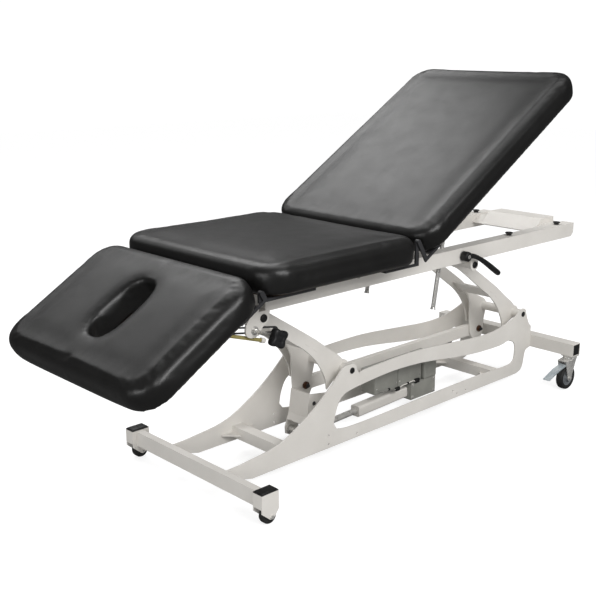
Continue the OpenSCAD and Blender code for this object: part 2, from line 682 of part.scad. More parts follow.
lever_hub_dia = 36;
lever_hub_out = 30;
lever_hub_face = 4;
lever_tip = [188, -90];
lever_knee = [60, -10];
lever_grip_dia = 22;
lever_root_dia = 28.8;
lever_tip_dia = 18.9;
lever_deep = 18;
lever_tip_out = 2;
lever_tip_deep = 14;
module lever_screw() color(steel_zinc) on_deck()
  bar_y(lever_screw_x, lever_screw_z, lever_screw_dia, -rail_out - lever_hub_out + lever_hub_face,
    -rail_in + 2 * touch);
module lever_handle() color(plastic_black) on_deck() difference() {
  union() {
    bar_y(lever_screw_x, lever_screw_z, lever_hub_dia, -rail_out - lever_hub_out,
      -rail_out - lever_hub_in);
    hull() {
      bar_y(lever_screw_x, lever_screw_z, lever_root_dia, -rail_out - lever_hub_out,
        -rail_out - lever_hub_out + lever_deep, coarse);
      bar_y(lever_screw_x + lever_knee[0], lever_screw_z + lever_knee[1], lever_grip_dia,
        -rail_out - lever_hub_out, -rail_out - lever_hub_out + lever_deep, coarse);
    }
    hull() {
      bar_y(lever_screw_x + lever_knee[0], lever_screw_z + lever_knee[1], lever_grip_dia,
        -rail_out - lever_hub_out, -rail_out - lever_hub_out + lever_deep, coarse);
      bar_y(lever_screw_x + lever_tip[0], lever_screw_z + lever_tip[1], lever_tip_dia,
        -rail_out - lever_hub_out - lever_tip_out, -rail_out - lever_hub_out + lever_tip_deep, coarse);
    }
  }
  bar_y(lever_screw_x, lever_screw_z, lever_screw_dia, -rail_out - lever_hub_out + lever_hub_face,
    -rail_out + over);
}

// Lifting arms

// arm plate outline about the base pivot in shares of the arm length, outer edge then inner edge
arm_outer_shares = [[-0.8286, 0.5876], [-0.7232, 0.5461], [-0.6196, 0.4859], [-0.5141, 0.4181],
  [-0.3879, 0.3371], [-0.2316, 0.2335], [-0.1205, 0.1488], [-0.0452, 0.096], [0.0038, 0.0527]];
arm_inner_shares = [[-0.1356, -0.113], [-0.1469, -0.0471], [-0.1789, 0.0226], [-0.2354, 0.1036],
  [-0.3202, 0.1846], [-0.4294, 0.2599], [-0.5819, 0.3691], [-0.7006, 0.4482], [-0.791, 0.4859]];
arm_heel = [[-10, -24], [-40, -34]];
arm_low_round = 28;
arm_high_round = 29;
arm_high_arc = [-60, -255];
arm_steps = 3;
ring_dia = 24;
// where the top pivot lies in the arm's drawn position
function arm_top() = arm_length * [-cos(arm_drawn_rise), sin(arm_drawn_rise)];
// a piece of an arm, written about the base pivot at the drawn slope
module on_arm(dx) translate([base_pivot_x + dx, 0, base_pivot_z])
  rotate([0, arm_rise - arm_drawn_rise, 0]) children();
function on_arm_point(q) = let (a = arm_drawn_rise - arm_rise)
  [base_pivot_x + q[0] * cos(a) - q[1] * sin(a), base_pivot_z + q[0] * sin(a) + q[1] * cos(a)];
module arm_plate_pair(dx) both_sides() on_arm(dx) difference() {
  sheet_y(concat(arm_length * smooth(arm_outer_shares, arm_steps), arc([0, 0], arm_low_round, 60, -40, 6),
    arm_heel, arm_length * smooth(arm_inner_shares, arm_steps),
    arc(arm_top(), arm_high_round, arm_high_arc[0], arm_high_arc[1], 9)),
    arm_outer - arm_thick, arm_outer);
  bar_y(0, 0, ring_dia, 0, arm_outer + over);
  bar_y(arm_top()[0], arm_top()[1], ring_dia, 0, arm_outer + over);
}
module front_arm_plates() color(paint) placed() arm_plate_pair(0);
module rear_arm_plates() color(paint) placed() arm_plate_pair(pivot_spacing);

lower_tube_dia = 34;
upper_tube_dia = 32;
upper_boss_dia = 35;
boss_long = 16;
tie_plane_y = 56;
brace_shares = [[-0.3315, 0.2298], [-0.3164, 0.2373], [-0.2185, 0.1582], [-0.2222, 0.1431],
  [-0.2335, 0.1469]];
brace = arm_length * brace_shares;
module arm_tubes(dx) {
  difference() {
    union() {
      bar_y(base_pivot_x + dx, base_pivot_z, lower_tube_dia, -base_half + plate_thick + gap,
        -arm_outer);
      bar_y(base_pivot_x + dx, base_pivot_z, lower_tube_dia, arm_outer,
        base_half - plate_thick - gap);
      bar_y(base_pivot_x + dx, base_pivot_z, lower_tube_dia, -arm_outer + arm_thick,
        arm_outer - arm_thick);
      bar_y(base_pivot_x + dx, base_pivot_z, ring_dia, -arm_outer - over, arm_outer + over);
      bar_y(top_pivot_x + dx, top_pivot_z, upper_tube_dia, -arm_outer + arm_thick,
        arm_outer - arm_thick);
      bar_y(top_pivot_x + dx, top_pivot_z, ring_dia, -arm_outer - over, arm_outer + over);
      both_sides() {
        bar_y(top_pivot_x + dx, top_pivot_z, upper_tube_dia, arm_outer, lug_in - gap);
        bar_y(top_pivot_x + dx, top_pivot_z, upper_boss_dia, lug_in - gap - boss_long, lug_in - gap);
      }
    }
    bar_y(base_pivot_x + dx, base_pivot_z, shaft_dia + 2 * slip, -base_half, base_half);
    bar_y(top_pivot_x + dx, top_pivot_z, shaft_dia + 2 * slip, -rail_out, rail_out);
  }
  on_arm(dx) sheet_y(brace, -arm_outer + arm_thick, arm_outer - arm_thick);
}
module front_arm_tubes() color(paint) placed() arm_tubes(0);
module rear_arm_tubes() color(paint) placed() arm_tubes(pivot_spacing);

// cranks hang from the arms beside the far arm plate; the front one reaches the lift drive
crank_thick = 6;
tie_pin = [-31, -93];
tie_pin_dia = 14;
crank_body = [[-136, 84], [-122, 96], [-60, 58], [0, 30], [17, 10], [14, -16], [2, -60], [0, -110],
  [-14, -134], [-40, -142], [-68, -132], [-88, -100], [-92, -40], [-96, 30], [-112, 62]];
drive_pin = [-102, -234];
drive_pin_dia = 14;
front_leg = [[-92, -90], [-8, -104], [-14, -134], [-38, -180], [-74, -246], [-102, -256],
  [-122, -246], [-124, -222], [-104, -170]];
leg_web = 7;
leg_web_turn = [[4, 30], [10, 30]];
bracket_in = 24;
module tie_bored(dx) difference() {
  union() children();
  on_arm(dx) bar_y(tie_pin[0], tie_pin[1], tie_pin_dia + 2 * slip, 0, arm_outer);
  bar_y(base_pivot_x + dx, base_pivot_z, lower_tube_dia, 0, arm_outer);
  on_arm(dx) sheet_y(brace, 0, arm_outer - arm_thick);
}
module front_crank() color(paint) placed() {
  difference() {
    tie_bored(0) on_arm(0) {
      sheet_y(crank_body, tie_plane_y, tie_plane_y + crank_thick);
      sheet_y(front_leg, tie_plane_y, tie_plane_y + crank_thick);
      sheet_y(front_leg, -bracket_in - crank_thick, -bracket_in);
      // web that ties the two leaves of the leg
      sheet_y([front_leg[0], front_leg[8], front_leg[7] + leg_web_turn[0],
        front_leg[7] + leg_web_turn[1], front_leg[8] + [leg_web, 0], front_leg[0] + [leg_web, 0]],
        -bracket_in, tie_plane_y);
    }
    on_arm(0) bar_y(drive_pin[0], drive_pin[1], drive_pin_dia + 2 * slip, -base_half, base_half);
  }
}
module rear_crank() color(paint) placed() tie_bored(pivot_spacing)
  on_arm(pivot_spacing) sheet_y(crank_body, tie_plane_y, tie_plane_y + crank_thick);

// bush and bolt of a crank; the bolt runs through the tie bar
bush_dia = 26;
bush_long = 6;
module crank_pin(dx) on_arm(dx) {
  bar_y(tie_pin[0], tie_pin[1], bush_dia, tie_plane_y - bush_long, tie_plane_y, coarse);
  bar_y(tie_pin[0], tie_pin[1], tie_pin_dia, tie_plane_y - 2 * bush_long,
    arm_outer - arm_thick - gap);
}
module front_crank_pin() color(bush_brown) placed() crank_pin(0);
module rear_crank_pin() color(bush_brown) placed() crank_pin(pivot_spacing);

tie_tall = 44;
tie_y0 = tie_plane_y + crank_thick + gap;
tie_y1 = arm_outer - arm_thick - 2 * gap;
module tie_bar() color(paint) placed() difference() {
  hull() for (dx = [0, pivot_spacing])
    bar_y(on_arm_point(tie_pin)[0] + dx, on_arm_point(tie_pin)[1], tie_tall, tie_y0, tie_y1);
  for (dx = [0, pivot_spacing]) bar_y(on_arm_point(tie_pin)[0] + dx, on_arm_point(tie_pin)[1],
    tie_pin_dia + 2 * slip, tie_y0 - over, tie_y1 + over);
}

// Lift drive

drive_x = on_arm_point(drive_pin)[0];
drive_z = on_arm_point(drive_pin)[1];
drive_end_x = 1092;
drive_end_z = 72;
drive_slope = atan2(drive_end_z - drive_z, drive_end_x - drive_x);
drive_rod_dia = 22;
drive_tube_side = 41;
drive_tube_round = 9;
tube_near = 260;
tube_far = 519.3;
rod_hidden = 420;
tube_end_wall = 8;
module drive_frame() { translate([drive_x, 0, drive_z]) rotate([0, -drive_slope, 0]) children(); }
module actuator_tube() color(paint) placed() drive_frame() difference() {
  translate([tube_near, 0, 0]) rotate([90, 0, 90]) linear_extrude(height = tube_far - tube_near)
    offset(r = drive_tube_round, $fn = coarse)
      square(drive_tube_side - 2 * drive_tube_round, center = true);
  translate([tube_near - over, 0, 0]) rotate([0, 90, 0]) cylinder(h = tube_far - tube_near - tube_end_wall,
    d = drive_rod_dia + 2 * slip, $fn = fine);
}
clevis_dia = 30;
clevis_half = 20;
clevis_flat = 2;
module actuator_rod() color(steel_zinc) placed() drive_frame() {
  translate([clevis_dia * half_share - clevis_flat, 0, 0]) rotate([0, 90, 0]) cylinder(h = rod_hidden,
    d = drive_rod_dia, $fn = fine);
  bar_y(0, 0, clevis_dia, -clevis_half, tie_plane_y - gap);
  bar_y(0, 0, drive_pin_dia, -bracket_in - crank_thick, tie_plane_y + crank_thick);
}

// gear housing behind the tube, with its motor block
gear_x = [972, 1112];
gear_y = [-38, 32];
gear_z = [40, 106];
module gear_housing() color(box_grey) placed()
  block([gear_x[0], gear_y[0], gear_z[0]], [gear_x[1], gear_y[1], gear_z[1]]);
box_x = [773, 1029];
box_y = [-38, 32];
box_z = [110, 200];
column_x = [1040, 1112];
column_y = [-44, 36];
column_z = 106;
box_edge = 5;
box_foot_in = 10;
box_join_in = 15;
module control_box() color(box_grey) placed() {
  hull() {
    block([box_x[0] + box_edge, box_y[0], box_z[0]], [box_x[1], box_y[1], box_z[1] - box_edge]);
    block([box_x[0], box_y[0] + box_edge, box_z[0]], [box_x[1], box_y[1] - box_edge, box_z[1]]);
  }
  hull() {
    block([column_x[0], column_y[0] + box_edge, column_z], [column_x[1], column_y[1] - box_edge, box_z[1]]);
    block([column_x[0] + box_edge, column_y[0], column_z], [column_x[1] - box_edge, column_y[1],
      box_z[1] - box_edge]);
  }
  block([box_x[1] - over, box_y[0] + box_join_in, box_z[0] + box_foot_in],
    [column_x[0] + over, box_y[1] - box_join_in, box_z[1] - box_foot_in]);
  // two feet down to the gear housing
  block([gear_x[0] + box_edge, box_y[0] + box_foot_in, gear_z[1]],
    [box_x[1] - box_edge, box_y[1] - box_foot_in, box_z[0]]);
}
mount_half = 20;
mount_neck = 10;
module actuator_mount() color(paint) placed() {
  bar_y(drive_end_x, drive_end_z, 2 * mount_half, gear_y[1] + mount_neck, base_half - plate_thick);
  bar_y(drive_end_x, drive_end_z, mount_half, gear_y[1] + touch, gear_y[1] + mount_neck + over);
}

// Base

// side plate of the base, outline from the front foot round over the top
front_bar_depth = 25;
plate_front_x = front_bar_depth;
plate_bottom = 40;
plate_front_step = 8;
plate_front_high = 98;
plate_toe = [[120, 0], [90, 8]];
// outlines: x as a share of the way to the front pivot or on to the rear one, z of the pivot height
function on_plate(v) = [for (q = v) [q[0] < 0 ? base_pivot_x * (1 + q[0])
  : base_pivot_x + q[0] * pivot_spacing, base_pivot_z * q[1]]];
plate_top_shares = [[-0.9549, 0.3451], [-0.8736, 0.3486], [-0.796, 0.3627], [-0.6516, 0.3908],
  [-0.5397, 0.4472], [-0.4242, 0.5563], [-0.3051, 0.6972], [-0.1841, 0.8768], [-0.1029, 1.0211]];
plate_lug_top_shares = [[-0.083, 1.0634], [-0.0578, 1.081]];
plate_back_shares = [[0.0368, 0.9296], [0.044, 0.9542], [0.0879, 0.9648], [0.138, 0.9718],
  [0.2423, 0.9824], [0.3517, 0.9789], [0.4663, 0.9507], [0.5869, 0.9155], [0.7127, 0.8838],
  [0.8098, 0.8908], [0.8763, 0.9296], [0.9233, 0.9718], [0.9571, 1.0141], [0.9755, 1.0563]];
plate_rear_shares = [[1.0327, 0.9225], [1.045, 0.8451], [1.0593, 0.7958], [1.0624, 0.7887]];
plate_foot_shares = [[1.0624, 0.4789], [1.0429, 0.4613], [1.0307, 0.4366], [1.0235, 0.3521],
  [1.0174, 0.2535], [1.0082, 0.1901], [0.9898, 0.1549], [0.9673, 0.1408]];
window_shares = [[-0.1516, 0.412], [-0.1444, 0.493], [-0.1336, 0.5634], [-0.1155, 0.6444],
  [-0.0921, 0.7042], [-0.0578, 0.743], [-0.0162, 0.7641], [0.0634, 0.7923], [0.1656, 0.8169],
  [0.2444, 0.8204], [0.3538, 0.8028], [0.4693, 0.757], [0.591, 0.7007], [0.7178, 0.662],
  [0.8497, 0.6514], [0.8906, 0.6761], [0.9182, 0.6761], [0.9448, 0.6268], [0.955, 0.5634],
  [0.956, 0.4754], [0.9519, 0.3803], [0.9366, 0.331], [0.8926, 0.3134], [0.7239, 0.331],
  [0.4765, 0.3275], [0.2495, 0.3134], [0.0665, 0.3063], [-0.0578, 0.3169], [-0.1245, 0.3415]];
plate_lug_round = 23;
module base_plate() {
  ends = [base_pivot_x, base_pivot_x + pivot_spacing];
  difference() {
    sheet_y(concat([[plate_front_x, plate_bottom + plate_front_step], [plate_front_x, plate_front_high]],
      on_plate(smooth(plate_top_shares, 2)), on_plate(plate_lug_top_shares),
      arc([ends[0], base_pivot_z], plate_lug_round, 100, 0, 7),
      on_plate(smooth(plate_back_shares, 2)),
      arc([ends[1], base_pivot_z], plate_lug_round, 130, 0, 9), on_plate(plate_rear_shares),
      on_plate(smooth(plate_foot_shares, 2)),
      [for (q = plate_toe) [q[0], plate_bottom + q[1]]]), base_half - plate_thick, base_half);
    sheet_y(on_plate(smooth(window_shares, 2)), base_half - plate_thick - over, base_half + over);
    for (x = ends) bar_y(x, base_pivot_z, shaft_dia, base_half - plate_thick - over,
      base_half + over);
    for (h = plate_holes) bar_y(h[0], h[1], plate_hole_dia, base_half - plate_thick - over,
      base_half + over, 16);
  }
}
plate_holes = [[446, 84], [446, 54], [1096, 70], [1122, 54], [1175, 54], [580, 54]];
plate_hole_dia = 7;
module base_plate_near() color(paint) placed() mirror([0, 1, 0]) base_plate();
module base_plate_far() color(paint) placed() base_plate();

post_x = [-16, 47];
post_low_z = 26;
post_high_z = 100;
post_wide = 40;
post_out_y = post_span * half_share;
post_in_y = post_out_y - post_wide;
cap_top_z = 106;
bar_low_z = 47.5;
bar_high_z = 97.5;
module front_crossbar() color(paint) placed() difference() {
  block([0, -post_in_y, bar_low_z], [front_bar_depth, post_in_y, bar_high_z]);
  block([tube_wall, -post_in_y - over, bar_low_z + tube_wall],
    [front_bar_depth - tube_wall, post_in_y + over, bar_high_z - tube_wall]);
}
post_wall = 4;
roller_x = 20;
roller_z = roller_dia * half_share;
roller_bolt = 8;
roller_wide = 26;
roller_step = 2;
post_foot_dia = 26;
post_foot_up = 4;
post_skirt = 18;
post_open = 30;
cap_base = 2;
cap_slope = 3;
bolt_in = 4;
bolt_head_dia = 13;
module front_posts() color(paint) placed() both_sides() difference() {
  hull() {
    block([post_x[0], post_in_y, post_low_z + post_skirt], [post_x[1], post_out_y, post_high_z]);
    bar_y(roller_x, post_low_z + post_foot_up, post_foot_dia, post_in_y, post_out_y, coarse);
  }
  block([post_x[0] - over, post_in_y + post_wall, 0], [post_x[1] + over, post_out_y - post_wall,
    post_low_z + post_open]);
  block([post_x[0] + post_wall, post_in_y + post_wall, post_low_z + post_open - over],
    [post_x[1] - post_wall, post_out_y - post_wall, post_high_z - 2 * post_wall]);
  bar_y(roller_x, roller_z, roller_bolt, post_in_y - over, post_out_y + over);
}
module post_caps() color(plastic_black) placed() both_sides()
  translate([0, 0, post_high_z]) hull() {
    block([post_x[0], post_in_y, 0], [post_x[1], post_out_y, cap_base]);
    block([post_x[0] + cap_slope, post_in_y + cap_slope, 0],
      [post_x[1] - cap_slope, post_out_y - cap_slope, cap_top_z - post_high_z]);
  }
module roller_bolts() both_sides() {
  bar_y(roller_x, roller_z, roller_bolt, post_in_y - bolt_in, post_out_y);
  bar_y(roller_x, roller_z, bolt_head_dia, post_out_y, post_out_y + bolt_in, 6);
}
module roller_at() {
  mid = (post_in_y + post_out_y) * half_share;
  difference() {
    union() {
      bar_y(roller_x, roller_z, roller_dia, mid - roller_wide * half_share + roller_step,
        mid + roller_wide * half_share - roller_step);
      bar_y(roller_x, roller_z, roller_dia - 2 * roller_step, mid - roller_wide * half_share,
        mid + roller_wide * half_share);
    }
    bar_y(roller_x, roller_z, roller_bolt + 2 * slip, mid - roller_wide, mid + roller_wide);
  }
}
module roller_near() color(tyre_black) placed() mirror([0, 1, 0]) roller_at();
module roller_far() color(tyre_black) placed() roller_at();

low_tube_wide = 40;
low_tube_rear = 197;
low_tube_starts = [260, base_pivot_x + pivot_spacing - low_tube_rear];
low_tube_xs = [for (x = low_tube_starts) [x, x + low_tube_wide]];
low_tube_z = [54, 94];
module low_cross_tubes() color(paint) placed() for (x = low_tube_xs) {
  difference() {
    block([x[0], -base_half + plate_thick, low_tube_z[0]], [x[1], base_half - plate_thick, low_tube_z[1]]);
    block([x[0] + tube_wall, -base_half, low_tube_z[0] + tube_wall],
      [x[1] - tube_wall, base_half, low_tube_z[1] - tube_wall]);
  }
}

rear_bar_behind = 61;
rear_bar_low = 136.5;
rear_bar_tall = 49;
rear_bar_x = [base_pivot_x + pivot_spacing + rear_bar_behind,
  base_pivot_x + pivot_spacing + rear_bar_behind + tube_side];
rear_bar_z = [rear_bar_low, rear_bar_low + rear_bar_tall];
rear_bar_half = 339;
module rear_crossbar() color(paint) placed() difference() {
  block([rear_bar_x[0], -rear_bar_half, rear_bar_z[0]], [rear_bar_x[1], rear_bar_half, rear_bar_z[1]]);
  block([rear_bar_x[0] + tube_wall, -rear_bar_half - over, rear_bar_z[0] + tube_wall],
    [rear_bar_x[1] - tube_wall, rear_bar_half + over, rear_bar_z[1] - tube_wall]);
}

module base_shafts() color(steel_zinc) placed() {
  for (x = [base_pivot_x, base_pivot_x + pivot_spacing])
    bar_y(x, base_pivot_z, shaft_dia, -base_half, base_half);
  roller_bolts();
}
lower_cap_dia = 21;
lower_cap_thick = 3.5;
module lower_caps() color(plastic_black) placed()
  for (x = [base_pivot_x, base_pivot_x + pivot_spacing]) both_sides()
    bar_y(x, base_pivot_z, lower_cap_dia, base_half, base_half + lower_cap_thick, coarse);

// Rear casters

caster_x = (rear_bar_x[0] + rear_bar_x[1]) * half_share;
caster_inset = 27;
caster_y = rear_bar_half - caster_inset;
caster_trail = 24;
caster_plate_thick = 4;
race_dia = 52;
race_tall = 10;
stem_dia = 14;
fork_top_z = 122;
fork_inner = 34;
fork_leaf = 3;
axle_z = wheel_dia * half_share;
axle_dia = 10;
wheel_wide = 30;
hub_dia = 66;
plate_half = 26;
caster_plate_half_x = 25;
stem_in = 8;
fork_back = 32;
fork_front = 16;
fork_eye_dia = 24;
fork_bore_deep = 20;
axle_stub = 3;
nut_thick = 6;
nut_dia = 15;
tyre_round = 8;
tyre_step = 3;
hub_step = 4;
hub_boss_dia = 26;
hub_boss_out = 1;
hub_rim = 12;
hub_dish = 8;
module caster_plates() color(steel_zinc) placed() both_sides() translate([caster_x, caster_y, 0]) {
  block([-caster_plate_half_x, -plate_half, rear_bar_z[0] - caster_plate_thick],
    [caster_plate_half_x, plate_half, rear_bar_z[0]]);
  translate([0, 0, fork_top_z + touch]) cylinder(h = rear_bar_z[0] - caster_plate_thick - fork_top_z
    - touch, d = race_dia, $fn = fine);
  translate([0, 0, fork_top_z - stem_in]) cylinder(h = stem_in + touch + over, d = stem_dia, $fn = fine);
}
module fork_at() translate([caster_x, caster_y, 0]) {
  difference() {
    union() {
      hull() {
        translate([0, 0, fork_top_z - fork_leaf]) cylinder(h = fork_leaf, d = race_dia, $fn = coarse);
        block([-caster_trail - fork_back, -fork_inner * half_share - fork_leaf, fork_top_z - fork_leaf],
          [0, fork_inner * half_share + fork_leaf, fork_top_z]);
      }
      for (s = [-1, 1]) hull() {
        bar_y(-caster_trail, axle_z, fork_eye_dia, s * (fork_inner + fork_leaf) * half_share
          - fork_leaf * half_share, s * (fork_inner + fork_leaf) * half_share
          + fork_leaf * half_share, coarse);
        block([-caster_trail - fork_back, s * (fork_inner + fork_leaf) * half_share - fork_leaf * half_share,
          fork_top_z - fork_leaf], [fork_front, s * (fork_inner + fork_leaf) * half_share
          + fork_leaf * half_share, fork_top_z]);
      }
    }
    translate([0, 0, fork_top_z - fork_bore_deep]) cylinder(h = 2 * fork_bore_deep,
      d = stem_dia + 2 * slip, $fn = fine);
  }
  bar_y(-caster_trail, axle_z, axle_dia, -fork_inner * half_share - fork_leaf - axle_stub,
    fork_inner * half_share + fork_leaf + axle_stub);
  bar_y(-caster_trail, axle_z, nut_dia, -fork_inner * half_share - fork_leaf - nut_thick,
    -fork_inner * half_share - fork_leaf, 6);
  bar_y(-caster_trail, axle_z, nut_dia, fork_inner * half_share + fork_leaf,
    fork_inner * half_share + fork_leaf + nut_thick, 6);
}
module tyre_at() translate([caster_x - caster_trail, caster_y, axle_z]) difference() {
  rotate([90, 0, 0]) rotate_extrude($fn = 48) polygon(concat(
    [[hub_dia * half_share, -wheel_wide * half_share + tyre_step], [hub_dia * half_share,
      wheel_wide * half_share - tyre_step]],
    arc([wheel_dia * half_share - tyre_round, wheel_wide * half_share - tyre_round], tyre_round, 90, 0, 3),
    arc([wheel_dia * half_share - tyre_round, -wheel_wide * half_share + tyre_round], tyre_round,
      0, -90, 3)));
}
module hub_at() translate([caster_x - caster_trail, caster_y, axle_z]) difference() {
  union() {
    bar_y(0, 0, hub_dia, -wheel_wide * half_share + hub_step, wheel_wide * half_share - hub_step);
    bar_y(0, 0, hub_boss_dia, -wheel_wide * half_share - hub_boss_out,
      wheel_wide * half_share + hub_boss_out, coarse);
  }
  bar_y(0, 0, axle_dia + 2 * slip, -wheel_wide, wheel_wide);
  for (s = [-1, 1]) rotate([90, 0, 0]) translate([0, 0, s * (wheel_wide * half_share - hub_step)])
    difference() {
      cylinder(h = hub_dish, d = hub_dia - hub_rim, center = true, $fn = fine);
      cylinder(h = hub_dish + over, d = hub_boss_dia, center = true, $fn = coarse);
    }
}
// brake pedal: sheet lever behind the wheel, pointing down and out
pedal_line = [[-48, 101], [-52, 104], [-96, 96], [-128, 84], [-160, 71], [-162, 67],
  [-128, 79], [-96, 90]];
pedal_half = 15;
pedal_pin = [-46, 103];
pedal_pin_dia = 8;
module pedal_at() translate([caster_x, caster_y, 0]) {
  sheet_y(pedal_line, -pedal_half, pedal_half);
  bar_y(pedal_pin[0], pedal_pin[1], pedal_pin_dia, -fork_inner * half_share + touch,
    fork_inner * half_share - touch, coarse);
}
module on_near() { mirror([0, 1, 0]) children(); }
module caster_fork_near() color(steel_zinc) placed() on_near() fork_at();
module caster_fork_far() color(steel_zinc) placed() fork_at();
module caster_tyre_near() color(tyre_black) placed() on_near() tyre_at();
module caster_tyre_far() color(tyre_black) placed() tyre_at();
module caster_hub_near() color(hub_grey) placed() on_near() hub_at();
module caster_hub_far() color(hub_grey) placed() hub_at();
module brake_pedal_near() color(pedal_blue) placed() on_near() pedal_at();
module brake_pedal_far() color(pedal_blue) placed() pedal_at();

// Assembly

front_crossbar();
front_posts();
post_caps();
base_plate_near();
base_plate_far();
low_cross_tubes();
rear_crossbar();
base_shafts();
lower_caps();
actuator_mount();
caster_plates();
caster_fork_near();
caster_fork_far();
caster_hub_near();
caster_hub_far();
caster_tyre_near();
caster_tyre_far();
brake_pedal_near();
brake_pedal_far();
roller_near();
roller_far();
front_arm_plates();
front_arm_tubes();
front_crank();
front_crank_pin();
rear_arm_plates();
rear_arm_tubes();
rear_crank();
rear_crank_pin();
tie_bar();
actuator_tube();
gear_housing();
control_box();
actuator_rod();
rail_near();
rail_far();
front_cross_member();
rear_cross_plate();
pivot_lugs();
clamp_lug();
upper_shafts();
upper_caps();
bumpers();
seat_bars();
seat_board();
seat_cushion();
head_knob();
head_screw();
head_link();
head_rod();
head_frame();
head_board();
head_cushion();
lever_handle();
lever_screw();
prop_rods();
collars();
back_frame();
back_board();
back_cushion();
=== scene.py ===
"""Looks of a height-adjustable three-section treatment table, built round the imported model."""
import json
import math

import bmesh
import bpy
from mathutils import Matrix, Vector, noise


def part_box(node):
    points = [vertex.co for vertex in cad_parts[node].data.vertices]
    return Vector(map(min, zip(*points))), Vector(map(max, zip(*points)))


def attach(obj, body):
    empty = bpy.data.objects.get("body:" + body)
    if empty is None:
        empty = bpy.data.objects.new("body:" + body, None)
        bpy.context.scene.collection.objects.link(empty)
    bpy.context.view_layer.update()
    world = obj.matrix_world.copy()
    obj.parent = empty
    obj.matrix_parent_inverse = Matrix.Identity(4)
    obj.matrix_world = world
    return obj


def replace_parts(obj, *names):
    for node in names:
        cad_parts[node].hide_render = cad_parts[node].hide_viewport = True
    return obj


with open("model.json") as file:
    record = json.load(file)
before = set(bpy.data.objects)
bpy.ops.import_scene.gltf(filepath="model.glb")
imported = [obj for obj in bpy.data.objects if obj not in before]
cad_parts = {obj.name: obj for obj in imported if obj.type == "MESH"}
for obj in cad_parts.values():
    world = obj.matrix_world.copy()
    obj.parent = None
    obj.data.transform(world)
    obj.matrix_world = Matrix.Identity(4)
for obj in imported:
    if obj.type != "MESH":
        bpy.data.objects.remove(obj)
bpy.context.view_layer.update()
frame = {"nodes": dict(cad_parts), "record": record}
nodes = frame["nodes"]

MM = 0.001
# x of the front crossbar's front face, the zero of the places below
FRONT_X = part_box("front_crossbar")[0].x

# slopes in degrees, hinges as (x, z), and heights in the level stand of each section
HEAD_DROP = 31.4
BACK_RISE = 31.2
HEAD_HINGE = (8.5, 680)
BACK_HINGE = (645, 730)
CUSHION_BASE = 668
CUSHION_WIDTH = 711
BOARD_LOW = 653


def at(x, y, z):
    """A place in mm from the crossbar's front face, the middle plane and the floor."""
    return Vector((FRONT_X + x * MM, y * MM, z * MM))


# Camera

PHOTO_SIDE = 596
FOCAL_PX = 946.828
CENTRE_PX = (341.47, 323.13)
AZIMUTH = -45.1488
ELEVATION = 16.3211
ROLL = 0.2487
DISTANCE = 3239.35
AIM = (641.33, 0, 400)


def add_camera():
    """The photograph's own camera, which looks at AIM from DISTANCE mm."""
    data = bpy.data.cameras.new("camera")
    data.sensor_width = 36
    data.lens = FOCAL_PX * data.sensor_width / PHOTO_SIDE
    data.shift_x = -(CENTRE_PX[0] - PHOTO_SIDE / 2) / PHOTO_SIDE
    data.shift_y = (CENTRE_PX[1] - PHOTO_SIDE / 2) / PHOTO_SIDE
    cam = bpy.data.objects.new("camera", data)
    a, e = math.radians(AZIMUTH), math.radians(ELEVATION)
    back = Vector((math.sin(a) * math.cos(e), -math.cos(a) * math.cos(e), math.sin(e)))
    cam.location = at(*AIM) + back * DISTANCE * MM
    turn = (-back).to_track_quat("-Z", "Y").to_matrix()
    cam.rotation_euler = (turn @ Matrix.Rotation(math.radians(ROLL), 3, "Z")).to_euler()
    bpy.context.scene.collection.objects.link(cam)
    bpy.context.scene.camera = cam


add_camera()


# Materials

def new_material(name):
    m = bpy.data.materials.new(name)
    m.use_nodes = True
    tree = m.node_tree
    return m, tree, tree.nodes["Principled BSDF"]


def link(tree, a, out, b, inp):
    tree.links.new(a.outputs[out], b.inputs[inp])


def add_noise(tree, scale, detail=3.0, rough=0.5):
    """Noise on the object's own coordinates; scale is in cycles per metre."""
    place = tree.nodes.get("place") or tree.nodes.new("ShaderNodeTexCoord")
    place.name = "place"
    n = tree.nodes.new("ShaderNodeTexNoise")
    n.inputs["Scale"].default_value = scale
    n.inputs["Detail"].default_value = detail
    n.inputs["Roughness"].default_value = rough
    link(tree, place, "Object", n, "Vector")
    return n


MIDDLE = (0.3, 0.7)


def spread(tree, source, out, low=0.0, high=1.0):
    """Maps a texture's middle range to low..high."""
    r = tree.nodes.new("ShaderNodeMapRange")
    r.inputs["From Min"].default_value, r.inputs["From Max"].default_value = MIDDLE
    r.inputs["To Min"].default_value = low
    r.inputs["To Max"].default_value = high
    link(tree, source, out, r, "Value")
    return r


def vary_colour(tree, shader, source, dark, light):
    """Colours between dark and light by the middle range of a noise."""
    factor = spread(tree, source, "Fac")
    m = tree.nodes.new("ShaderNodeMix")
    m.data_type = "RGBA"
    m.inputs["A"].default_value = (*dark, 1)
    m.inputs["B"].default_value = (*light, 1)
    tree.links.new(factor.outputs["Result"], m.inputs["Factor"])
    tree.links.new(m.outputs["Result"], shader.inputs["Base Color"])


def vary_roughness(tree, shader, source, low, high):
    link(tree, spread(tree, source, "Fac", low, high), "Result", shader, "Roughness")


BEVEL_SAMPLES = 6


def add_bump(tree, shader, heights, distance, strength=1.0, soften=0.0):
    """Bump from a list of (node, output); soften rounds hard edges by that radius in metres."""
    last = None
    if soften:
        last = tree.nodes.new("ShaderNodeBevel")
        last.samples = BEVEL_SAMPLES
        last.inputs["Radius"].default_value = soften
    for source, out in heights:
        b = tree.nodes.new("ShaderNodeBump")
        b.inputs["Distance"].default_value = distance
        b.inputs["Strength"].default_value = strength
        tree.links.new(source.outputs[out], b.inputs["Height"])
        if last:
            link(tree, last, "Normal", b, "Normal")
        last = b
    link(tree, last, "Normal", shader, "Normal")


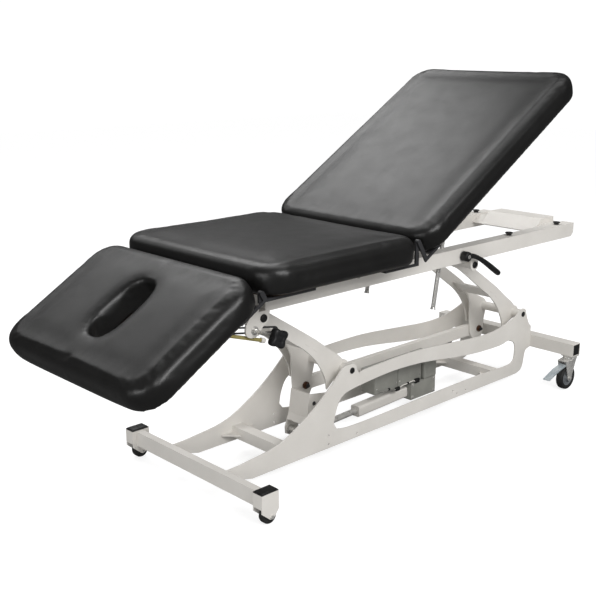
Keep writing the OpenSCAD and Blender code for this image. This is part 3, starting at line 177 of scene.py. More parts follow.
def powder_coat(name, dark, light, rough=0.38):
    """Satin powder coat: faint orange peel, slightly uneven tone, a little dust."""
    m, t, s = new_material(name)
    peel = add_noise(t, scale=620, detail=2.0)
    vary_colour(t, s, add_noise(t, scale=6, detail=4.0, rough=0.6), dark, light)
    vary_roughness(t, s, add_noise(t, scale=45), rough - 0.05, rough + 0.07)
    s.inputs["Specular IOR Level"].default_value = 0.45
    add_bump(t, s, [(peel, "Fac")], distance=0.00012, strength=0.35, soften=0.0012)
    return m


def vinyl(name, dark, light):
    """Upholstery vinyl: pebble grain, broad soft highlights and slow tone changes."""
    m, t, s = new_material(name)
    vary_colour(t, s, add_noise(t, scale=9, detail=5.0, rough=0.6), dark, light)
    pebble = t.nodes.new("ShaderNodeTexVoronoi")
    pebble.inputs["Scale"].default_value = 620
    pebble.inputs["Randomness"].default_value = 0.9
    link(t, t.nodes["place"], "Object", pebble, "Vector")
    fine = add_noise(t, scale=1500, detail=2.0)
    vary_roughness(t, s, add_noise(t, scale=14, detail=4.0, rough=0.65), 0.33, 0.40)
    s.inputs["Specular IOR Level"].default_value = 0.5
    add_bump(t, s, [(pebble, "Distance"), (fine, "Fac")], distance=0.00022, strength=0.4)
    return m


def moulded(name, dark, light, rough=0.5, scale=420):
    """Moulded plastic or rubber with a fine spark-eroded texture."""
    m, t, s = new_material(name)
    vary_colour(t, s, add_noise(t, scale=22, detail=4.0), dark, light)
    vary_roughness(t, s, add_noise(t, scale=60), rough - 0.06, rough + 0.07)
    grain = add_noise(t, scale, detail=2.0)
    add_bump(t, s, [(grain, "Fac")], distance=0.0001, strength=0.5, soften=0.0008)
    return m


def plated(name, dark, light, rough=0.26):
    """Plated or ground steel with fine scratches and a slightly cloudy sheen."""
    m, t, s = new_material(name)
    s.inputs["Metallic"].default_value = 0.55
    vary_colour(t, s, add_noise(t, scale=28, detail=2.0), dark, light)
    vary_roughness(t, s, add_noise(t, scale=60, detail=2.0), rough - 0.02, rough + 0.1)
    scratches = add_noise(t, scale=900, detail=2.0)
    add_bump(t, s, [(scratches, "Fac")], distance=0.00003, strength=0.3, soften=0.0004)
    return m


def plywood(name, dark, light):
    """Backing board: long faint grain."""
    m, t, s = new_material(name)
    place = t.nodes.new("ShaderNodeTexCoord")
    stretch = t.nodes.new("ShaderNodeMapping")
    stretch.inputs["Scale"].default_value = (4, 60, 60)
    link(t, place, "Object", stretch, "Vector")
    grain = t.nodes.new("ShaderNodeTexNoise")
    grain.inputs["Scale"].default_value = 3
    grain.inputs["Detail"].default_value = 6
    link(t, stretch, "Vector", grain, "Vector")
    vary_colour(t, s, grain, dark, light)
    s.inputs["Roughness"].default_value = 0.7
    add_bump(t, s, [(grain, "Fac")], distance=0.0002, strength=0.4)
    return m


MATERIALS = {
    "white_powder_coat": powder_coat("powder_coat_white", (0.665, 0.64, 0.60), (0.73, 0.705, 0.665)),
    "black_vinyl": vinyl("vinyl_black", (0.0054, 0.0053, 0.0051), (0.0086, 0.0084, 0.0081)),
    "black_plastic": moulded("plastic_black", (0.006, 0.006, 0.0065), (0.012, 0.012, 0.0125)),
    "dark_steel": powder_coat("steel_black", (0.020, 0.020, 0.022), (0.036, 0.036, 0.038), 0.42),
    "zinc_steel": plated("zinc_bright", (0.55, 0.54, 0.515), (0.72, 0.71, 0.685)),
    "yellow_zinc": plated("zinc_yellow", (0.52, 0.43, 0.14), (0.72, 0.63, 0.28), 0.3),
    "grey_housing": moulded("housing_grey", (0.25, 0.25, 0.228), (0.295, 0.295, 0.268), 0.5, 300),
    "hub_grey": moulded("nylon_grey", (0.13, 0.14, 0.15), (0.19, 0.20, 0.21), 0.45),
    "black_tyre": moulded("rubber_black", (0.010, 0.010, 0.010), (0.024, 0.024, 0.023), 0.66, 250),
    "brown_bush": moulded("bearing_brown", (0.06, 0.022, 0.008), (0.10, 0.04, 0.016), 0.45),
    "pedal_zinc": plated("zinc_blue", (0.54, 0.61, 0.65), (0.76, 0.82, 0.85), 0.3),
    "backing_board": plywood("plywood_dark", (0.030, 0.020, 0.014), (0.075, 0.050, 0.034)),
}
NODE_SLOT = {p["node"]: p["material_slot"] for p in frame["record"]["subparts"]}


def paint(obj, slot_name):
    obj.data.materials.clear()
    obj.data.materials.append(MATERIALS[slot_name])


for name, obj in nodes.items():
    paint(obj, NODE_SLOT[name])


# Mesh helpers

def object_from(name, bm):
    data = bpy.data.meshes.new(name)
    bm.to_mesh(data)
    bm.free()
    obj = bpy.data.objects.new(name, data)
    bpy.context.scene.collection.objects.link(obj)
    return obj


def mesh_object(name, bm, body, slot_name, sharp):
    """Makes a mesh a piece that rides on a body; edges over the sharp angle stay sharp."""
    bmesh.ops.recalc_face_normals(bm, faces=bm.faces)
    obj = object_from(name, bm)
    obj.data.shade_smooth()
    obj.data.set_sharp_from_angle(angle=math.radians(sharp))
    paint(obj, slot_name)
    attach(obj, body)
    return obj


def frame_along(axis):
    """Two unit vectors square to an axis."""
    a = Vector(axis).normalized()
    u = a.cross(Vector((0, 0, 1)) if abs(a.z) < 0.9 else Vector((1, 0, 0))).normalized()
    return u, a.cross(u)


def add_lathe(bm, origin, axis, profile, steps=32, wave=None, closed=False):
    """Revolves (along, radius) pairs in mm about an axis. A zero radius closes an end, closed joins
    the last pair to the first, and wave gives the share of the radius at an angle."""
    a = Vector(axis).normalized()
    u, v = frame_along(axis)
    rings = []
    for along, radius in profile:
        if radius <= 0:
            rings.append([bm.verts.new(origin + a * along * MM)])
            continue
        ring = []
        for k in range(steps):
            t = 2 * math.pi * k / steps
            r = radius * (wave(t, along) if wave else 1)
            side = u * math.cos(t) + v * math.sin(t)
            ring.append(bm.verts.new(origin + a * along * MM + side * r * MM))
        rings.append(ring)
    for p, q in zip(rings, rings[1:] + (rings[:1] if closed else [])):
        for k in range(steps):
            j = (k + 1) % steps
            if len(p) == 1 and len(q) > 1:
                bm.faces.new((p[0], q[k], q[j]))
            elif len(q) == 1 and len(p) > 1:
                bm.faces.new((p[k], p[j], q[0]))
            elif len(p) > 1:
                bm.faces.new((p[k], p[j], q[j], q[k]))


def add_prism(bm, outline, low, high, to_world):
    """Extrudes a closed outline between two levels; to_world places (a, b, level)."""
    first = [bm.verts.new(to_world(a, b, low)) for a, b in outline]
    last = [bm.verts.new(to_world(a, b, high)) for a, b in outline]
    bm.faces.new(first)
    bm.faces.new(list(reversed(last)))
    n = len(outline)
    for k in range(n):
        j = (k + 1) % n
        bm.faces.new((first[k], first[j], last[j], last[k]))


def add_tube(bm, points, radius, sides):
    """A closed round tube along places; radius in mm is one number or a list of them."""
    pts = [Vector(p) for p in points]
    rings = []
    u = None
    for i, p in enumerate(pts):
        t = (pts[min(i + 1, len(pts) - 1)] - pts[max(i - 1, 0)]).normalized()
        u = frame_along(t)[0] if u is None else (u - t * u.dot(t)).normalized()
        v = t.cross(u)
        r = radius[i] if isinstance(radius, list) else radius
        rings.append([bm.verts.new(p + (u * math.cos(a) + v * math.sin(a)) * r * MM)
                      for a in (2 * math.pi * k / sides for k in range(sides))])
    for p, q in zip(rings, rings[1:]):
        for k in range(sides):
            j = (k + 1) % sides
            bm.faces.new((p[k], p[j], q[j], q[k]))
    bm.faces.new(list(reversed(rings[0])))
    bm.faces.new(rings[-1])


def curve_through(points, steps):
    """A smooth curve through all the points, each span cut into steps."""
    out = []
    n = len(points)
    for i in range(n - 1):
        p, q, r, s = (points[max(i - 1, 0)], points[i], points[i + 1], points[min(i + 2, n - 1)])
        for k in range(steps):
            t = k / steps
            out.append(0.5 * ((2 * q) + (r - p) * t + (2 * p - 5 * q + 4 * r - s) * t * t
                              + (3 * q - p - 3 * r + s) * t ** 3))
    out.append(points[-1])
    return out


# Cushions: closed forms that swell like cloth under pressure and keep a flat base

# voxels in metres, growth and the corner's radius in mm, smoothing as shares of a full step
VOXEL = 0.008
FREE_GROWTH = 9
WIDE_GROWTH = 9
CORNER = 84
SOFTEN = 0.5
SWELL = -0.52
VOXEL_ROUNDS = 3
CLOTH_ROUNDS = 2

# the most a point may move, the held base and the seam's reach in mm
CLOTH_FRAMES = 12
CLOTH_QUALITY = 3
CLOTH_MASS = 0.35
CLOTH_STIFFNESS = 22
CLOTH_BENDING = 4
CLOTH_PRESSURE = 4
CLOTH_REACH = 4
HELD_BELOW = 9
SEAM_REACH = 60
SEAM_SHARE = 0.2

# the taut top: above a height, level within a slope, inside its rims
CALM_ROUNDS = 24
CALM_SLOPE = 0.93
CALM_RIM = 34
CALM_ABOVE = 64

# rises in mm; the pairs are (distance from the outline, width) of a bell
DRESS_ABOVE = 40
DRESS_FADE = 25
ROLL_RISE, ROLL_AT = 1.2, (26, 16)
VALLEY_DEPTH, VALLEY_AT = 1.8, (62, 30)
PULL_RISE, PULL_AT = 0.5, (45, 30)
SLACK_RISE = 0.9
SLACK_SCALE = 0.006
PULL_SCALE = (0.02, 0.05)


class Section:
    """A cushion's own level frame: u along it from its hinge end, w across, h above its base."""

    def __init__(self, hinge, slope, start, length, down=False):
        self.pivot = at(hinge[0], 0, hinge[1])
        self.turn = Matrix.Rotation(math.radians(slope), 3, "Y")
        self.start, self.length, self.down = start, length, down

    def local(self, p):
        q = self.turn.inverted() @ (p - self.pivot) + self.pivot
        x = (q.x - FRONT_X) / MM
        u = self.start - x if self.down else x - self.start
        return u, q.y / MM, q.z / MM - CUSHION_BASE

    def world(self, u, w, h):
        x = self.start - u if self.down else self.start + u
        return self.turn @ (at(x, w, CUSHION_BASE + h) - self.pivot) + self.pivot


HEAD = Section(HEAD_HINGE, slope=-HEAD_DROP, start=7, length=447, down=True)
SEAT = Section(HEAD_HINGE, slope=0, start=12, length=630)
BACK = Section(BACK_HINGE, slope=-BACK_RISE, start=648, length=936)


def seam_share(section, u):
    """How free a point is to swell: hardly at a seam, fully well away from it."""
    ends = [u, section.length - u] if section is SEAT else [u]
    return min(1.0, SEAM_SHARE + (1 - SEAM_SHARE) * max(0.0, min(ends)) / SEAM_REACH)


def inflate(obj, section):
    """Cloth pressure swells the cover; no point moves over CLOTH_REACH mm, the base stays flat."""
    rest = [v.co.copy() for v in obj.data.vertices]
    held = obj.vertex_groups.new(name="held")
    held.add([i for i, p in enumerate(rest) if section.local(p)[2] < HELD_BELOW], 1.0, "REPLACE")
    cloth = obj.modifiers.new("cloth", "CLOTH")
    s = cloth.settings
    s.quality = CLOTH_QUALITY
    s.mass = CLOTH_MASS
    s.tension_stiffness = s.compression_stiffness = s.shear_stiffness = CLOTH_STIFFNESS
    s.bending_stiffness = CLOTH_BENDING
    s.use_pressure = True
    s.uniform_pressure_force = CLOTH_PRESSURE
    s.effector_weights.gravity = 0
    s.vertex_group_mass = "held"
    cloth.collision_settings.use_collision = False
    scene = bpy.context.scene
    for f in range(1, CLOTH_FRAMES + 1):
        scene.frame_set(f)
    done = obj.evaluated_get(bpy.context.evaluated_depsgraph_get()).data
    moved = [v.co.copy() for v in done.vertices]
    obj.modifiers.remove(cloth)
    for v, a, b in zip(obj.data.vertices, rest, moved):
        d = b - a
        far = d.length / MM
        most = CLOTH_REACH * seam_share(section, section.local(a)[0])
        v.co = a + d * (min(far, most) / far if far > 1e-6 else 0)
    obj.vertex_groups.remove(held)
    scene.frame_set(1)


def smooth(bm, verts, factor):
    bmesh.ops.smooth_vert(bm, verts=verts, factor=factor, use_axis_x=True, use_axis_y=True,
                          use_axis_z=True)


def relax(obj, rounds):
    """Smooths the voxel steps away and swells the form back to its size."""
    bm = bmesh.new()
    bm.from_mesh(obj.data)
    for factor in (SOFTEN, SWELL) * rounds:
        smooth(bm, bm.verts, factor)
    bm.to_mesh(obj.data)
    bm.free()


def calm(obj, section):
    """Takes the creases out of the taut top, away from its rims."""
    up = section.turn @ Vector((0, 0, 1))
    bm = bmesh.new()
    bm.from_mesh(obj.data)
    bm.normal_update()
    flat = []
    for v in bm.verts:
        u, w, h = section.local(v.co)
        level = h > CALM_ABOVE and v.normal.dot(up) > CALM_SLOPE
        if level and edge_distance(section, u, w) > CALM_RIM:
            flat.append(v)
    for _ in range(CALM_ROUNDS):
        smooth(bm, flat, SOFTEN)
    bm.to_mesh(obj.data)
    bm.free()


def edge_distance(section, u, w):
    """Distance in mm from the cushion's outline in plan, positive inside."""
    x, y = abs(u - section.length / 2), abs(w)
    hx, hy = section.length / 2 - CORNER, CUSHION_WIDTH / 2 - CORNER
    dx, dy = max(x - hx, 0), max(y - hy, 0)
    if dx or dy:
        return CORNER - math.hypot(dx, dy)
    return min(CORNER + hx - x, CORNER + hy - y)


def bell(x, centre, width):
    return math.exp(-((x - centre) / width) ** 2)


def dress(obj, section, seed):
    """The rolled rim with the shallow valley inside it, and the slack of stretched vinyl."""
    up = section.turn @ Vector((0, 0, 1))
    for v in obj.data.vertices:
        u, w, h = section.local(v.co)
        if h < DRESS_ABOVE:
            continue
        d = edge_distance(section, u, w)
        top = min(1.0, (h - DRESS_ABOVE) / DRESS_FADE)
        slow = noise.noise(Vector((u * SLACK_SCALE, w * SLACK_SCALE, seed)))
        pull = noise.noise(Vector((u * PULL_SCALE[0] + seed, w * PULL_SCALE[1], seed * 2)))
        rise = ROLL_RISE * bell(d, *ROLL_AT) - VALLEY_DEPTH * bell(d, *VALLEY_AT)
        rise += SLACK_RISE * slow + PULL_RISE * pull * bell(d, *PULL_AT)
        v.co += up * rise * top * MM


def stretch(section, p):
    """The stuffed cover stands a little outside its plain solid, but not at a seam."""
    u, w, h = section.local(p)
    along = 0 if section is SEAT else FREE_GROWTH / section.length
    across = 2 * WIDE_GROWTH / CUSHION_WIDTH
    return section.world(u * (1 + along), w * (1 + across), h)


def cushion(node, body, section, seed):
    """A cushion cover that replaces its plain solid."""
    obj = bpy.data.objects.new(node.replace("cushion", "pad"), nodes[node].data.copy())
    bpy.context.scene.collection.objects.link(obj)
    mod = obj.modifiers.new("voxels", "REMESH")
    mod.mode = "VOXEL"
    mod.voxel_size = VOXEL
    made = bpy.data.meshes.new_from_object(obj.evaluated_get(bpy.context.evaluated_depsgraph_get()))
    obj.modifiers.clear()
    obj.data = made
    for v in made.vertices:
        v.co = stretch(section, v.co)
    relax(obj, VOXEL_ROUNDS)
    inflate(obj, section)
    relax(obj, CLOTH_ROUNDS)
    calm(obj, section)
    dress(obj, section, seed)
    obj.data.shade_smooth()
    fine = obj.modifiers.new("fine", "SUBSURF")
    fine.levels = fine.render_levels = 1
    paint(obj, "black_vinyl")
    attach(obj, body)
    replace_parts(obj, node)


cushion("seat_cushion", "top_frame", SEAT, seed=1.3)
cushion("head_cushion", "head_section", HEAD, seed=4.1)
cushion("back_cushion", "back_section", BACK, seed=7.7)


# Pieces in finer detail than their plain solids

RAIL_OUT = 220.5
PLATE_IN, PLATE_OUT = 132.5, 137.5
ARM_LEAN = 32.6
FRONT_PIVOT = (554, 284)
REAR_PIVOT = (1532, 284)
TOP_FRONT = (106.66, 570.09)
TOP_REAR = (1084.66, 570.09)
ARMS = (("front_arm", FRONT_PIVOT, TOP_FRONT), ("rear_arm", REAR_PIVOT, TOP_REAR))
SIDES = (("near", -1), ("far", 1))
NEARWARD = (0, -1, 0)
LATHE_SHARP = 35
HEX_SHARP = 30
BLOCK_SHARP = 40
WELD_SHARP = 60
BLOCK_SEGMENTS = 3


def lathe_piece(name, body, slot_name, parts, steps=40, closed=False):
    """One piece from several (place, axis, profile) turned shapes."""
    bm = bmesh.new()
    for place, axis, profile in parts:
        add_lathe(bm, place, axis, profile, steps, closed=closed)
    return mesh_object(name, bm, body, slot_name, LATHE_SHARP)


def add_hex(bm, place, axis, across, tall, washer):
    """A hexagon head with chamfered corners on its washer."""
    a = Vector(axis).normalized()
    wide = across * 0.92
    ring = [(0, 0), (0, wide), (washer * 0.7, wide), (washer, wide - 0.4), (washer, 0)]
    add_lathe(bm, place, a, ring, 28)
    r = across / math.sqrt(3)
    head = [(0, 0), (0, r), (tall * 0.82, r), (tall, r * 0.86), (tall, 0)]
    add_lathe(bm, place + a * washer * MM, a, head, 6)


def hex_piece(name, body, slot_name, heads):
    """Hexagon heads from (place, axis, across flats, height, washer thickness)."""
    bm = bmesh.new()
    for head in heads:
        add_hex(bm, *head)
    mesh_object(name, bm, body, slot_name, HEX_SHARP)


def add_rounded_block(bm, low, high, radius):
    """A block between two places with all its edges rounded."""
    made = bmesh.ops.create_cube(bm, size=1)["verts"]
    for v in made:
        v.co = Vector(low[i] + (high[i] - low[i]) * (v.co[i] + 0.5) for i in range(3))
    edges = list({e for v in made for e in v.link_edges})
    bmesh.ops.bevel(bm, geom=edges, offset=radius * MM, segments=BLOCK_SEGMENTS, profile=0.5,
                    affect="EDGES")


def rounded_piece(name, body, slot_name, blocks):
    """One piece from several (low, high, edge radius) blocks."""
    bm = bmesh.new()
    for low, high, radius in blocks:
        add_rounded_block(bm, low, high, radius)
    return mesh_object(name, bm, body, slot_name, BLOCK_SHARP)


# Pivot caps

def dome_cap(radius, tall):
    """Profile of a pressed-in cap with a rounded rim and a shallow dimple."""
    return [(0, 0), (0, radius), (tall * 0.35, radius), (tall * 0.7, radius - tall * 0.12),
            (tall * 0.92, radius - tall * 0.4), (tall, radius - tall * 0.8),
            (tall, radius * 0.45), (tall * 0.86, radius * 0.38), (tall * 0.86, 0)]


TOP_CAP = dome_cap(12, 6)
BASE_CAP = dome_cap(10.5, 3.5)


def pivot_caps():
    tops, lows = [], []
    for _, s in SIDES:
        tops += [(at(x, s * RAIL_OUT, z), (0, s, 0), TOP_CAP) for x, z in (TOP_FRONT, TOP_REAR)]
        lows += [(at(x, s * PLATE_OUT, z), (0, s, 0), BASE_CAP)
                 for x, z in (FRONT_PIVOT, REAR_PIVOT)]
    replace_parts(lathe_piece("top_pivot_caps", "top_frame", "black_plastic", tops), "upper_caps")
    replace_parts(lathe_piece("base_pivot_caps", "base", "black_plastic", lows), "lower_caps")


# Washers of the two clamps: ring thickness, its seat in the rail, and the y of what turns on it

WASHER_THICK = 0.8
WASHER_SEAT = 0.1
CLAMP_FACE = RAIL_OUT + 0.9


def rail_washer(name, place, inner, outer):
    """A flat ring of two radii on the near rail's outer face."""
    ring = [(0, inner), (0, outer), (WASHER_THICK, outer), (WASHER_THICK, inner)]
    seat = at(place[0], -RAIL_OUT + WASHER_SEAT, place[1])
    lathe_piece(name, "top_frame", "zinc_steel", [(seat, NEARWARD, ring)], closed=True)


# Head clamp: lobed knob on its sleeve, and the white end of the plated rod

CLAMP = (74, 539.5)
KNOB_IN, KNOB_OUT = 306, 332
KNOB_PROFILE = [(0, 0), (0, 19), (1.5, 23), (4, 25.6), (9, 26.8), (18, 26.8), (23, 25.4), (25.2, 22.6),
                (26, 19), (26, 11), (24.6, 9.5), (24.6, 0)]
COLLAR_IN = KNOB_IN - 6
COLLAR_PROFILE = [(0, 0), (0, 10), (8, 13), (8, 0)]
INSERT_IN = KNOB_OUT - 1.6
INSERT_HEAD = (9, 1.2, 0.4)
STUD_PROFILE = [(0, 0), (0, 8), (9, 8), (10, 6.2), (62, 6.2), (63, 8), (72, 8), (73, 6.2), (84, 6.2),
                (84, 0)]
LOBE_TURN = math.radians(20)
LOBE_DEPTH = 0.19
ROD_FROM, ROD_TO, ROD_Y = (-66, 558), (121, 497), -205.2
ROD_CAP = [(0, 5.6), (0, 7.4), (1, 8), (12, 8), (15.5, 7), (17.5, 4.5), (18, 0)]
ROD_CAP_OVERLAP = 15


def knob_lobes(t, along):
    """Four finger lobes that fade in from the knob's back edge."""
    share = min(1.0, max(0.0, along / 4))
    return 1 + LOBE_DEPTH * share * math.cos(4 * (t - LOBE_TURN))


def head_clamp():
    bm = bmesh.new()
    add_lathe(bm, at(CLAMP[0], -KNOB_IN, CLAMP[1]), NEARWARD, KNOB_PROFILE, 72, knob_lobes)
    add_lathe(bm, at(CLAMP[0], -COLLAR_IN, CLAMP[1]), NEARWARD, COLLAR_PROFILE, 32)
    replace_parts(mesh_object("clamp_knob_lobed", bm, "clamp_knob", "black_plastic", 40), "head_knob")
    lathe_piece("clamp_stud", "clamp_knob", "zinc_steel",
                [(at(CLAMP[0], -CLAMP_FACE, CLAMP[1]), NEARWARD, STUD_PROFILE)])
    hex_piece("clamp_knob_insert", "clamp_knob", "black_plastic",
              [(at(CLAMP[0], -INSERT_IN, CLAMP[1]), NEARWARD, *INSERT_HEAD)])
    rail_washer("clamp_washer", CLAMP, inner=5.4, outer=13)
    end = at(ROD_TO[0], ROD_Y, ROD_TO[1])
    along = (end - at(ROD_FROM[0], ROD_Y, ROD_FROM[1])).normalized()
    lathe_piece("strut_rod_cap", "head_strut", "white_powder_coat",
                [(end - along * ROD_CAP_OVERLAP * MM, along, ROD_CAP)])


# Back clamp lever

LEVER = (1015, 613)
HUB_PROFILE = [(0, 0), (0, 14), (1.5, 16.5), (20, 17.6), (26, 16.6), (28.6, 13), (29.1, 9), (28.1, 7.5),
               (28.1, 0)]
# (x, z) from the hub, and y from the middle plane
LEVER_WAY = [(0, 0, -239), (20, 0, -241), (44, -6, -243), (84, -26, -244.5), (122, -49, -245),
             (158, -72, -244.5), (188, -90, -243)]
# radius, and its waist and swell by share of the way: (mm, place, width)
LEVER_RADIUS = 9.8
LEVER_WAIST = (1.8, 0.36, 0.2)
LEVER_SWELL = (0.5, 0.8, 0.22)
LEVER_TAIL = 0.06
CAP_SCREW_FACE = RAIL_OUT + 28.4
CAP_SCREW = [(0, 0), (0, 6.4), (1.4, 6.4), (1.9, 5.6), (1.9, 3.2), (0.6, 3.0), (0.6, 0)]


def lever_radius(t):
    """The grip's radius at a share t of its way, rounded off at the tail."""
    tail = max(0.0, (t - 1 + LEVER_TAIL) / LEVER_TAIL)
    size = LEVER_RADIUS - LEVER_WAIST[0] * bell(t, *LEVER_WAIST[1:])
    size += LEVER_SWELL[0] * bell(t, *LEVER_SWELL[1:])
    return size * math.sqrt(max(0.05, 1 - tail * tail))


def clamp_lever():
    bm = bmesh.new()
    add_lathe(bm, at(LEVER[0], -CLAMP_FACE, LEVER[1]), NEARWARD, HUB_PROFILE)
    line = curve_through([at(LEVER[0] + x, y, LEVER[1] + z) for x, z, y in LEVER_WAY], 5)
    last = len(line) - 1
    add_tube(bm, line, [lever_radius(k / last) for k in range(last + 1)], 20)
    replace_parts(mesh_object("back_clamp_lever", bm, "back_lever", "black_plastic", 50), "lever_handle")
    lathe_piece("lever_cap_screw", "back_lever", "zinc_steel",
                [(at(LEVER[0], -CAP_SCREW_FACE, LEVER[1]), NEARWARD, CAP_SCREW)])
    rail_washer("lever_washer", LEVER, inner=6.2, outer=19)


# Rubber bumpers that carry the back section

BUMPER_X = (1320, 1638)
BUMPER_TALL = (11.7, 11.0)
BUMPER_Y = 196
RAIL_TOP = 641


def bumpers():
    parts = []
    for x, tall in zip(BUMPER_X, BUMPER_TALL):
        profile = [(0, 0), (0, 9), (0.8, 9.6), (3, 9.4), (5.5, 10.6), (8, 13.2), (tall - 2, 14.8),
                   (tall - 0.7, 14.6), (tall, 13.2), (tall, 5), (tall - 1.5, 4), (tall - 1.5, 0)]
        parts += [(at(x, s * BUMPER_Y, RAIL_TOP), (0, 0, 1), profile) for _, s in SIDES]
    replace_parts(lathe_piece("rail_bumpers", "top_frame", "black_plastic", parts), "bumpers")


# Front posts: soft-edged caps and rollers

POST_X = (-16, 47)
POST_Y = (303, 343)
POST_TOP = 100
CAP_BRIM, CAP_BRIM_EDGE = 3.2, 1.4
CAP_FROM, CAP_TO, CAP_EDGE = 1, 6, 2.2
CAP_INSET = 2.5
ROLLER = (20, 25)
ROLLER_PROFILE = [(0, 4.2), (0, 18), (0.6, 20.5), (2.2, 23.4), (5, 24.7), (8, 25), (18, 25), (21, 24.7),
                  (23.8, 23.4), (25.4, 20.5), (26, 18), (26, 12), (24.8, 10.5), (24.8, 7), (26, 6.5),
                  (26, 4.2)]


def post_fittings():
    blocks = []
    for _, s in SIDES:
        y0, y1 = sorted((s * POST_Y[0], s * POST_Y[1]))
        blocks.append((at(POST_X[0], y0, POST_TOP), at(POST_X[1], y1, POST_TOP + CAP_BRIM),
                       CAP_BRIM_EDGE))
        blocks.append((at(POST_X[0] + CAP_INSET, y0 + CAP_INSET, POST_TOP + CAP_FROM),
                       at(POST_X[1] - CAP_INSET, y1 - CAP_INSET, POST_TOP + CAP_TO), CAP_EDGE))
    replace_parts(rounded_piece("post_top_caps", "base", "black_plastic", blocks), "post_caps")
    half = ROLLER_PROFILE[-1][0] / 2
    for side, s in SIDES:
        start = at(ROLLER[0], s * (sum(POST_Y) / 2 - half), ROLLER[1])
        roller = lathe_piece("roller_tread_" + side, "front_roller_" + side, "black_tyre",
                             [(start, (0, s, 0), ROLLER_PROFILE)], 48, closed=True)
        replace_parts(roller, "roller_" + side)


# Plugs in the open ends of the rear crossbar, a little inset

PLUG_WALL = 3.05
PLUG_DEEP = 12
PLUG_INSET = 0.6
PLUG_EDGE = 1.5


def rear_bar_caps():
    low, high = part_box("rear_crossbar")
    wall, deep, inset = PLUG_WALL * MM, PLUG_DEEP * MM, PLUG_INSET * MM
    blocks = []
    for y0, y1 in ((low.y + inset, low.y + deep), (high.y - deep, high.y - inset)):
        blocks.append((Vector((low.x + wall, y0, low.z + wall)),
                       Vector((high.x - wall, y1, high.z - wall)), PLUG_EDGE))
    rounded_piece("rear_bar_caps", "base", "black_plastic", blocks)


# Rear casters

CASTER = (1618, 312)
CASTER_TRAIL = 24
AXLE_Z = 49
TYRE_PROFILE = [(-11, 33.2), (-12.2, 35), (-13.6, 39), (-14.6, 42.5), (-14, 45.4), (-11.5, 47.6),
                (-7, 48.7), (0, 49), (7, 48.7), (11.5, 47.6), (14, 45.4), (14.6, 42.5), (13.6, 39),
                (12.2, 35), (11, 33.2), (0, 32.4)]
HUB_SIDE = [(11.5, 32.9), (11.5, 30.2), (9.5, 29), (6, 27.5), (5.2, 22), (6.8, 17), (10.5, 14.5),
            (15.5, 12.8), (15.8, 11), (15.8, 5.2)]
RACE_RING = [(0, 25), (0, 26.6), (1.2, 27.4), (2.8, 27.4), (4, 26.6), (4, 25)]
RACE_TOP = 129.4
HUB_SPOKES = 6
# inner and outer end of a spoke: (from the axle, from the middle plane, radius)
SPOKE_ENDS = ((15, 8.6, 2.4), (29, 7.4, 1.9))


def casters():
    rim = [(-a, r) for a, r in HUB_SIDE] + list(reversed(HUB_SIDE))
    for side, s in SIDES:
        axle = at(CASTER[0] - CASTER_TRAIL, s * CASTER[1], AXLE_Z)
        wheel = "wheel_" + side
        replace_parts(lathe_piece("tyre_" + side, wheel, "black_tyre",
                                [(axle, (0, 1, 0), TYRE_PROFILE)], 64, closed=True),
                    "caster_tyre_" + side)
        bm = bmesh.new()
        add_lathe(bm, axle, (0, 1, 0), rim, 48, closed=True)
        for k in range(HUB_SPOKES):
            t = 2 * math.pi * k / HUB_SPOKES
            for face in (-1, 1):
                ends = [axle + Vector((math.cos(t) * far, face * off, math.sin(t) * far)) * MM
                        for far, off, _ in SPOKE_ENDS]
                add_tube(bm, ends, [radius for _, _, radius in SPOKE_ENDS], 8)
        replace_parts(mesh_object("wheel_hub_" + side, bm, wheel, "hub_grey", 35), "caster_hub_" + side)
        lathe_piece("caster_race_" + side, "base", "zinc_steel",
                    [(at(CASTER[0], s * CASTER[1], RACE_TOP), (0, 0, -1), RACE_RING)], 48, closed=True)


# Welds: beads whose middle line lies TOE or TUCK mm off the faces they join

BEAD_SIDES = 8
BEAD_STEP = 2.6
BEAD_RIPPLE = (0.16, 2.1)
RING_STEPS = 2.6
RING_RIPPLE = (0.14, 2.4)
TOE = 0.3
TUCK = 0.2
FINE_BEAD, MIDDLE_BEAD, BROAD_BEAD = 1.6, 1.7, 1.8

LOW_TUBES = ((260, 300), (1335, 1375))
LOW_TUBE_Z = (54, 94)
FRONT_BAR = 25
FRONT_BAR_Z = (48, 97)
PLATE_FRONT_Z = (50, 95)
REAR_BAR = 1593
PLATE_REAR_Z = (140, 182)

ARM_PLATE_Y = (86, 92)
CRANK_Y = (56, 62)
LOW_HUB, TOP_HUB = 17, 16

RAIL_IN = 170.5
RAIL_BASE = 588
LUG_OUT = 214
REAR_LUG_X = (TOP_REAR[0] - 20, TOP_REAR[0] + 20)
FRONT_LUG_X = (TOP_FRONT[0] - 12, TOP_FRONT[0] + 20)
CLAMP_LUG_X = (92, 129)
MEMBER_X, MEMBER_Z = 118.2, (590, 639)


def rippled(bead, count, depth, rate):
    """Radii along a bead whose ripples follow one another."""
    return [bead * (1 + depth * math.sin(k * rate)) for k in range(count)]


def add_weld(bm, place, axis, radius, bead):
    """A rippled fillet bead round a tube."""
    u, v = frame_along(axis)
    steps = int(radius * RING_STEPS)
    pts = []
    for k in range(steps + 1):
        t = 2 * math.pi * k / steps
        pts.append(place + (u * math.cos(t) + v * math.sin(t)) * radius * MM)
    add_tube(bm, pts, rippled(bead, len(pts), *RING_RIPPLE), BEAD_SIDES)


def add_bead(bm, a, b, bead):
    """A straight rippled bead between two places."""
    n = max(6, int((b - a).length / (BEAD_STEP * MM)))
    pts = [a.lerp(b, k / n) for k in range(n + 1)]
    add_tube(bm, pts, rippled(bead, len(pts), *BEAD_RIPPLE), BEAD_SIDES)


